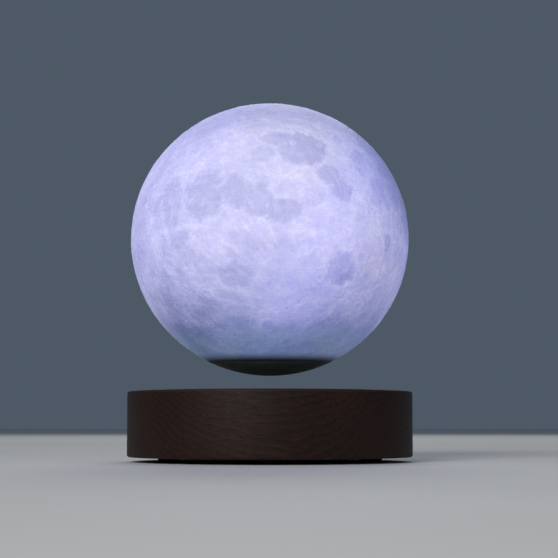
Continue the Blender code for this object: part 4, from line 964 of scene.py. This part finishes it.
def glowing_pla():
    """White PLA in thin printed layers: milky, matt, lit from inside through a wall of varying thickness."""
    material, tree, shader, place = finish("printed_white_pla", Roughness=0.55, Specular_IOR_Level=0.30)
    own = add(tree, "Mapping", {"Vector": place, "Location": -globe_centre})
    calm = add(tree, "VectorMath", (own, facing(*CALM_SPOT) * globe_radius), operation="DISTANCE")
    calm_reach, wild_reach = CALM_REACH_SHARE * globe_radius, WILD_REACH_SHARE * globe_radius
    wild = add(tree, "MapRange", (calm, calm_reach, wild_reach, 1.0, WILD_GAIN))
    clouds = {}
    for name, (size_mm, detail, roughness) in CLOUDS.items():
        noise = add(tree, "TexNoise", pattern(own, size_mm, Detail=detail, Roughness=roughness))
        clouds[name] = add(tree, "Math", (noise, -0.5))
    speck = add(tree, "Math", (clouds["speck"], wild), operation="MULTIPLY")
    weights = [(clouds["broad"], BROAD_WEIGHT), (clouds["mottle"], MOTTLE_WEIGHT), (speck, SPECK_WEIGHT)]
    # Hairlines: thin bright lines that wander, cross and come and go
    bent = wander(tree, own, HAIRLINE_BEND, HAIRLINE_BEND_MM)
    come = add(tree, "MapRange", (clouds["mottle"], *HAIRLINE_LEVELS, 0.0, HAIRLINE_STRENGTH))
    for size_mm in HAIRLINES_MM:
        wide = add(tree, "TexNoise", pattern(bent, size_mm, Detail=0.5))
        weights.append((crest(tree, wide, 0.5, HAIRLINE_WIDTH_MM / size_mm), come))
    swayed = wander(tree, own, STREAK_BEND, STREAK_BEND_MM)
    drawn = add(tree, "Mapping", {"Vector": swayed, "Scale": STREAK_SQUEEZE})
    streaks = add(tree, "TexNoise", pattern(drawn, STREAK_MM, Detail=4.0, Roughness=0.6))
    swing = add(tree, "Math", (streaks, -0.5))
    weights.append((add(tree, "Math", (swing, wild), operation="MULTIPLY"), STREAK_WEIGHT))
    # Plains: the shore is frayed once more here, finer than the mesh can hold, and has a thin bright bank
    reach = add(tree, "Attribute", attribute_name="reach").outputs["Fac"]
    strength = add(tree, "Attribute", attribute_name="strength").outputs["Fac"]
    shore = add(tree, "Math", (clouds["fray"], FRAY_REACH, reach), operation="MULTIPLY_ADD")
    sunk = add(tree, "MapRange", (shore, SHORE_OUTER, SHORE_INNER), interpolation_type="SMOOTHSTEP")
    patchy = add(tree, "MapRange", (clouds["mottle"], *PATCH_LEVELS, *PATCH_SHARES))
    deep = add(tree, "Math", (sunk, strength), operation="MULTIPLY")
    flooded = add(tree, "Math", (deep, patchy), operation="MULTIPLY")
    layers = waves(own, LAYER_MM, Distortion=0.6, Detail_Scale=0.05)
    layer = add(tree, "TexWave", layers, bands_direction="Z").outputs["Fac"]
    bank = crest(tree, shore, BANK, BANK_WIDTH)
    weights += [(flooded, PLAIN_WEIGHT), (bank, BANK_WEIGHT), (layer, LAYER_WEIGHT)]
    for (spacing_mm, largest), weight in zip(CRATERS, CRATER_WEIGHTS):
        bowl, rim = crater_field(tree, own, spacing_mm, largest)
        relief = add(tree, "Math", (rim, bowl), operation="SUBTRACT")
        weights.append((add(tree, "Math", (relief, wild), operation="MULTIPLY"), weight))
    for *shape, weight in HAZES:
        weights.append((add(tree, "MapRange", (oval(tree, own, *shape), 1.0, HAZE_CORE)), weight))
    for right, rise, reach_mm, weight in RAYS:
        weights.append((ray_field(tree, own, facing(right, rise), reach_mm), weight))
    for right, rise, radius_mm in RINGS:
        distance = add(tree, "VectorMath", (own, facing(right, rise) * globe_radius), operation="DISTANCE")
        weights.append((crest(tree, distance, radius_mm / 1000, RING_WIDTH_MM / 1000), RING_STRENGTH))
    tone = weigh(tree, GLOW_BASE, weights)
    lit = add(tree, "ValToRGB", {"Fac": tone}, GLOW_TONES)
    # The light that gets through falls off towards the cap and the top and changes its hue, and painted shade
    # dims it on one side
    height = add(tree, "SeparateXYZ", (own,)).outputs["Z"]
    uneven = add(tree, "Math", (clouds["broad"], FALL_WANDER, height), operation="MULTIPLY_ADD")
    lit = dimmed(tree, lit, uneven, FALL_STOPS)
    lit = dimmed(tree, lit, add(tree, "VectorMath", (own, PAINTED_SHADE_SIDE), operation="DOT_PRODUCT"), SIDE_SHADE_STOPS)
    shone = dimmed(tree, lit, add(tree, "VectorMath", (own, HUE_WAY), operation="DOT_PRODUCT"), HUE_STOPS)
    lip = add(tree, "MapRange", (height, LIP_BOTTOM, LIP_TOP), interpolation_type="SMOOTHSTEP")
    glow = add(tree, "Mix", {FACTOR: lip, UNDER: linear(LIP_GLOW), OVER: shone}, data_type="RGBA")
    # The wall's own colour takes the same falloff and side dimming as painted shade, and is painted dark at
    # the lip
    body = add(tree, "Mix", {FACTOR: lip, UNDER: linear(LIP_PAINTED_SHADE), OVER: lit}, data_type="RGBA")
    feed(tree, shader, {"Emission Color": glow, "Emission Strength": GLOW_STRENGTH})
    grain = add(tree, "Math", (layer, LAYER_BUMP_SHARE, clouds["mottle"]), operation="MULTIPLY_ADD")
    paint(tree, shader, body, None, grain, depth=0.0003, strength=0.25)
    return material


moon_finish = glowing_pla()
moon = grow(
    "moon_globe",
    moon_tree(),
    Radius=globe_radius,
    Half_Height=globe_half_height,
    Opening=OPENING_RADIUS,
    Wall=MOON_WALL,
    Relief=RELIEF_DEPTH,
    Centre_Height=globe_centre.z,
    Columns=MOON_COLUMNS,
    Outer_Rows=MOON_OUTER_ROWS,
    Inner_Rows=MOON_INNER_ROWS,
    Place_in_Noise=MOON_PLACE_IN_NOISE,
    Finish=moon_finish,
)
fit(moon, "globe", "moon_pla", moon_finish, "moon_shell")

# Bottom cap: a dish of dark ABS that carries on the globe's curve, printed in layers and glued into the
# opening. It holds the lift magnet with its keeper plate and, round them, the pickup coil on its ferrite.

CAP_FLATS, CAP_DISH_STEPS = 192, 40
# Its layers are 0.2 mm thick too, and are drawn 1.2 mm thick to show
CAP_LAYER_MM, CAP_DUST_MM = 1.2, 6
CAP_LIGHT, CAP_DARK = "#7E8886", "#4A524F"


def printed_dark_abs():
    """Dark olive ABS, satin and a little dusty, whose printed layers catch the light as faint bands."""
    material, tree, shader, place = finish("printed_dark_abs", Roughness=0.50, Specular_IOR_Level=0.4)
    layers = waves(place, CAP_LAYER_MM, Distortion=0.5, Detail_Scale=0.05)
    wave = add(tree, "TexWave", layers, bands_direction="Z")
    dust = add(tree, "TexNoise", pattern(place, CAP_DUST_MM, Detail=5.0))
    mixed = add(tree, "Math", (wave.outputs["Fac"], 0.4, dust), operation="MULTIPLY_ADD")
    colour = (mixed, (0.35, CAP_DARK), (0.95, CAP_LIGHT))
    paint(tree, shader, colour, (dust, *SWING, 0.44, 0.60), wave, depth=0.00004)
    return material


magnet_low, magnet_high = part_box("lift_magnet")
receiver_low, receiver_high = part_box("receiver_coil")
cap_radius = cap_high.x
coil_seat = receiver_high.x + SEAT_GAP
magnet_seat = magnet_high.x + SEAT_GAP
seam = -math.acos(cap_radius / globe_radius)
outline = [(0, magnet_low.z - SEAT_GAP), (magnet_seat, magnet_low.z - SEAT_GAP)]
outline += [(magnet_seat, receiver_low.z - SEAT_GAP), (coil_seat, receiver_low.z - SEAT_GAP)]
outline += [(coil_seat, cap_high.z), (cap_radius, cap_high.z)]
for step in range(CAP_DISH_STEPS):
    angle = seam + (-math.pi / 2 - seam) * step / CAP_DISH_STEPS
    outline.append((globe_radius * math.cos(angle), globe_centre.z + globe_half_height * math.sin(angle)))
outline.append((0, cap_low.z))
cap_dish = turned("cap_dish", outline, CAP_FLATS)
fit(cap_dish, "globe", "cap_abs", printed_dark_abs(), "bottom_cap")
dress(nickel, "lift_magnet")
dress(zinc_steel, "keeper_plate", *numbered("lid_screw"))
dress(flat_turns, "receiver_coil")
dress(ferrite, "receiver_ferrite")
dress(black_abs, "carrier_lid")

# The light: a metal-cored board screwed to the lid, with four white leds under a frosted dome and the
# capacitor that smooths the current from the pickup coil.

MASK_WHITE, MASK_GREY = "#D8DADC", "#B4B7BA"
FROST_LIGHT, FROST_DARK = "#F1F2F4", "#DADCE0"
PHOSPHOR, LED_CASE = "#E8C53A", "#EDEBE2"
LED_LIGHT, LED_GLOW = "#DCE2FF", 3.0
MASK_GRAIN_MM, FROST_MM, PHOSPHOR_GRAIN_MM = 1.0, 0.7, 0.4


def frosted_polycarbonate():
    """Polycarbonate with a frosted skin: milky, passing a soft light."""
    material, tree, shader, place = finish("frosted_polycarbonate", Roughness=0.55, Transmission_Weight=0.25)
    frost = add(tree, "TexNoise", pattern(place, FROST_MM, Detail=3.0))
    colour = (frost, (0.35, FROST_DARK), (0.65, FROST_LIGHT))
    paint(tree, shader, colour, (frost, *SWING, 0.48, 0.66), frost, depth=0.00005)
    return material


def led_phosphor():
    """Yellow phosphor gel in a white case: grainy, and glowing cool white when it is on."""
    light = {"Emission_Color": linear(LED_LIGHT), "Emission_Strength": LED_GLOW}
    material, tree, shader, place = finish("led_phosphor", Roughness=0.42, **light)
    grain = add(tree, "TexVoronoi", pattern(place, PHOSPHOR_GRAIN_MM)).outputs["Color"]
    shade = add(tree, "SeparateXYZ", (grain,))
    paint(tree, shader, (shade, (0.0, PHOSPHOR), (1.0, LED_CASE)), None, shade, depth=0.00004)
    return material


white_mask = moulded("white_solder_mask", MASK_WHITE, MASK_GREY, MASK_GRAIN_MM, roughness=0.36)
dress(white_mask, "led_board")
dress(zinc_steel, *numbered("led_board_screw"))
dress(led_phosphor(), *numbered("led"))
dress(frosted_polycarbonate(), "light_diffuser")
dress(sleeve, "smoothing_capacitor")

# The studio: a pale floor, three soft lights and a camera that stands low, as the photograph's does, and
# looks up at the globe from just under the base's rim.

FLOOR_SIDE, FLOOR_CLOUD_MM = 12.0, 400
FLOOR_PALE, FLOOR_SHADE = "#E4E3E0", "#DAD8D4"
SURROUND, SURROUND_STRENGTH = "#7C8CA0", 0.38
CAMERA_PLACE = Vector((0.0047, -0.800, 0.019))
CAMERA_PITCH = math.radians(5.4)
CAMERA_LENS, SENSOR_WIDTH = 99.4, 36.0
# Each light: place, width and height, watts
LIGHTS = {
    "key": ((-0.9, -1.9, 1.1), 1.2, 1.0, 30.0),
    "fill": ((1.6, -1.0, 0.7), 1.2, 1.2, 2.0),
    "back": ((0.1, 1.7, 1.3), 1.2, 0.8, 8.0),
}


def matt_floor():
    """A matt painted floor: pale and even, with wide, faint clouds."""
    material, tree, shader, place = finish("matt_floor", Roughness=0.75)
    cloud = add(tree, "TexNoise", pattern(place, FLOOR_CLOUD_MM, Detail=2.0))
    paint(tree, shader, (cloud, (0.3, FLOOR_SHADE), (0.7, FLOOR_PALE)))
    return material


floor_mesh = bpy.data.meshes.new("floor")
half = FLOOR_SIDE / 2
corners = [(-half, -half, 0), (half, -half, 0), (half, half, 0), (-half, half, 0)]
floor_mesh.from_pydata(corners, [], [(0, 1, 2, 3)])
floor_mesh.materials.append(matt_floor())
floor = new_object("floor", floor_mesh)

world = bpy.data.worlds.new("surround")
bpy.context.scene.world = world
world.use_nodes = True
backdrop = {"Color": linear(SURROUND), "Strength": SURROUND_STRENGTH}
feed(world.node_tree, world.node_tree.nodes["Background"], backdrop)

for name, (spot, width, height, watts) in LIGHTS.items():
    lamp = bpy.data.lights.new(name, "AREA")
    lamp.shape, lamp.size, lamp.size_y, lamp.energy = "RECTANGLE", width, height, watts
    holder = new_object(name, lamp)
    holder.location = spot
    holder.rotation_euler = (globe_centre - Vector(spot)).to_track_quat("-Z", "Y").to_euler()

camera = new_object("camera", bpy.data.cameras.new("camera"))
camera.data.lens, camera.data.sensor_width = CAMERA_LENS, SENSOR_WIDTH
camera.location = CAMERA_PLACE
camera.rotation_euler = (math.pi / 2 + CAMERA_PITCH, 0, 0)
bpy.context.scene.camera = camera
bpy.context.scene.view_settings.view_transform = "Standard"
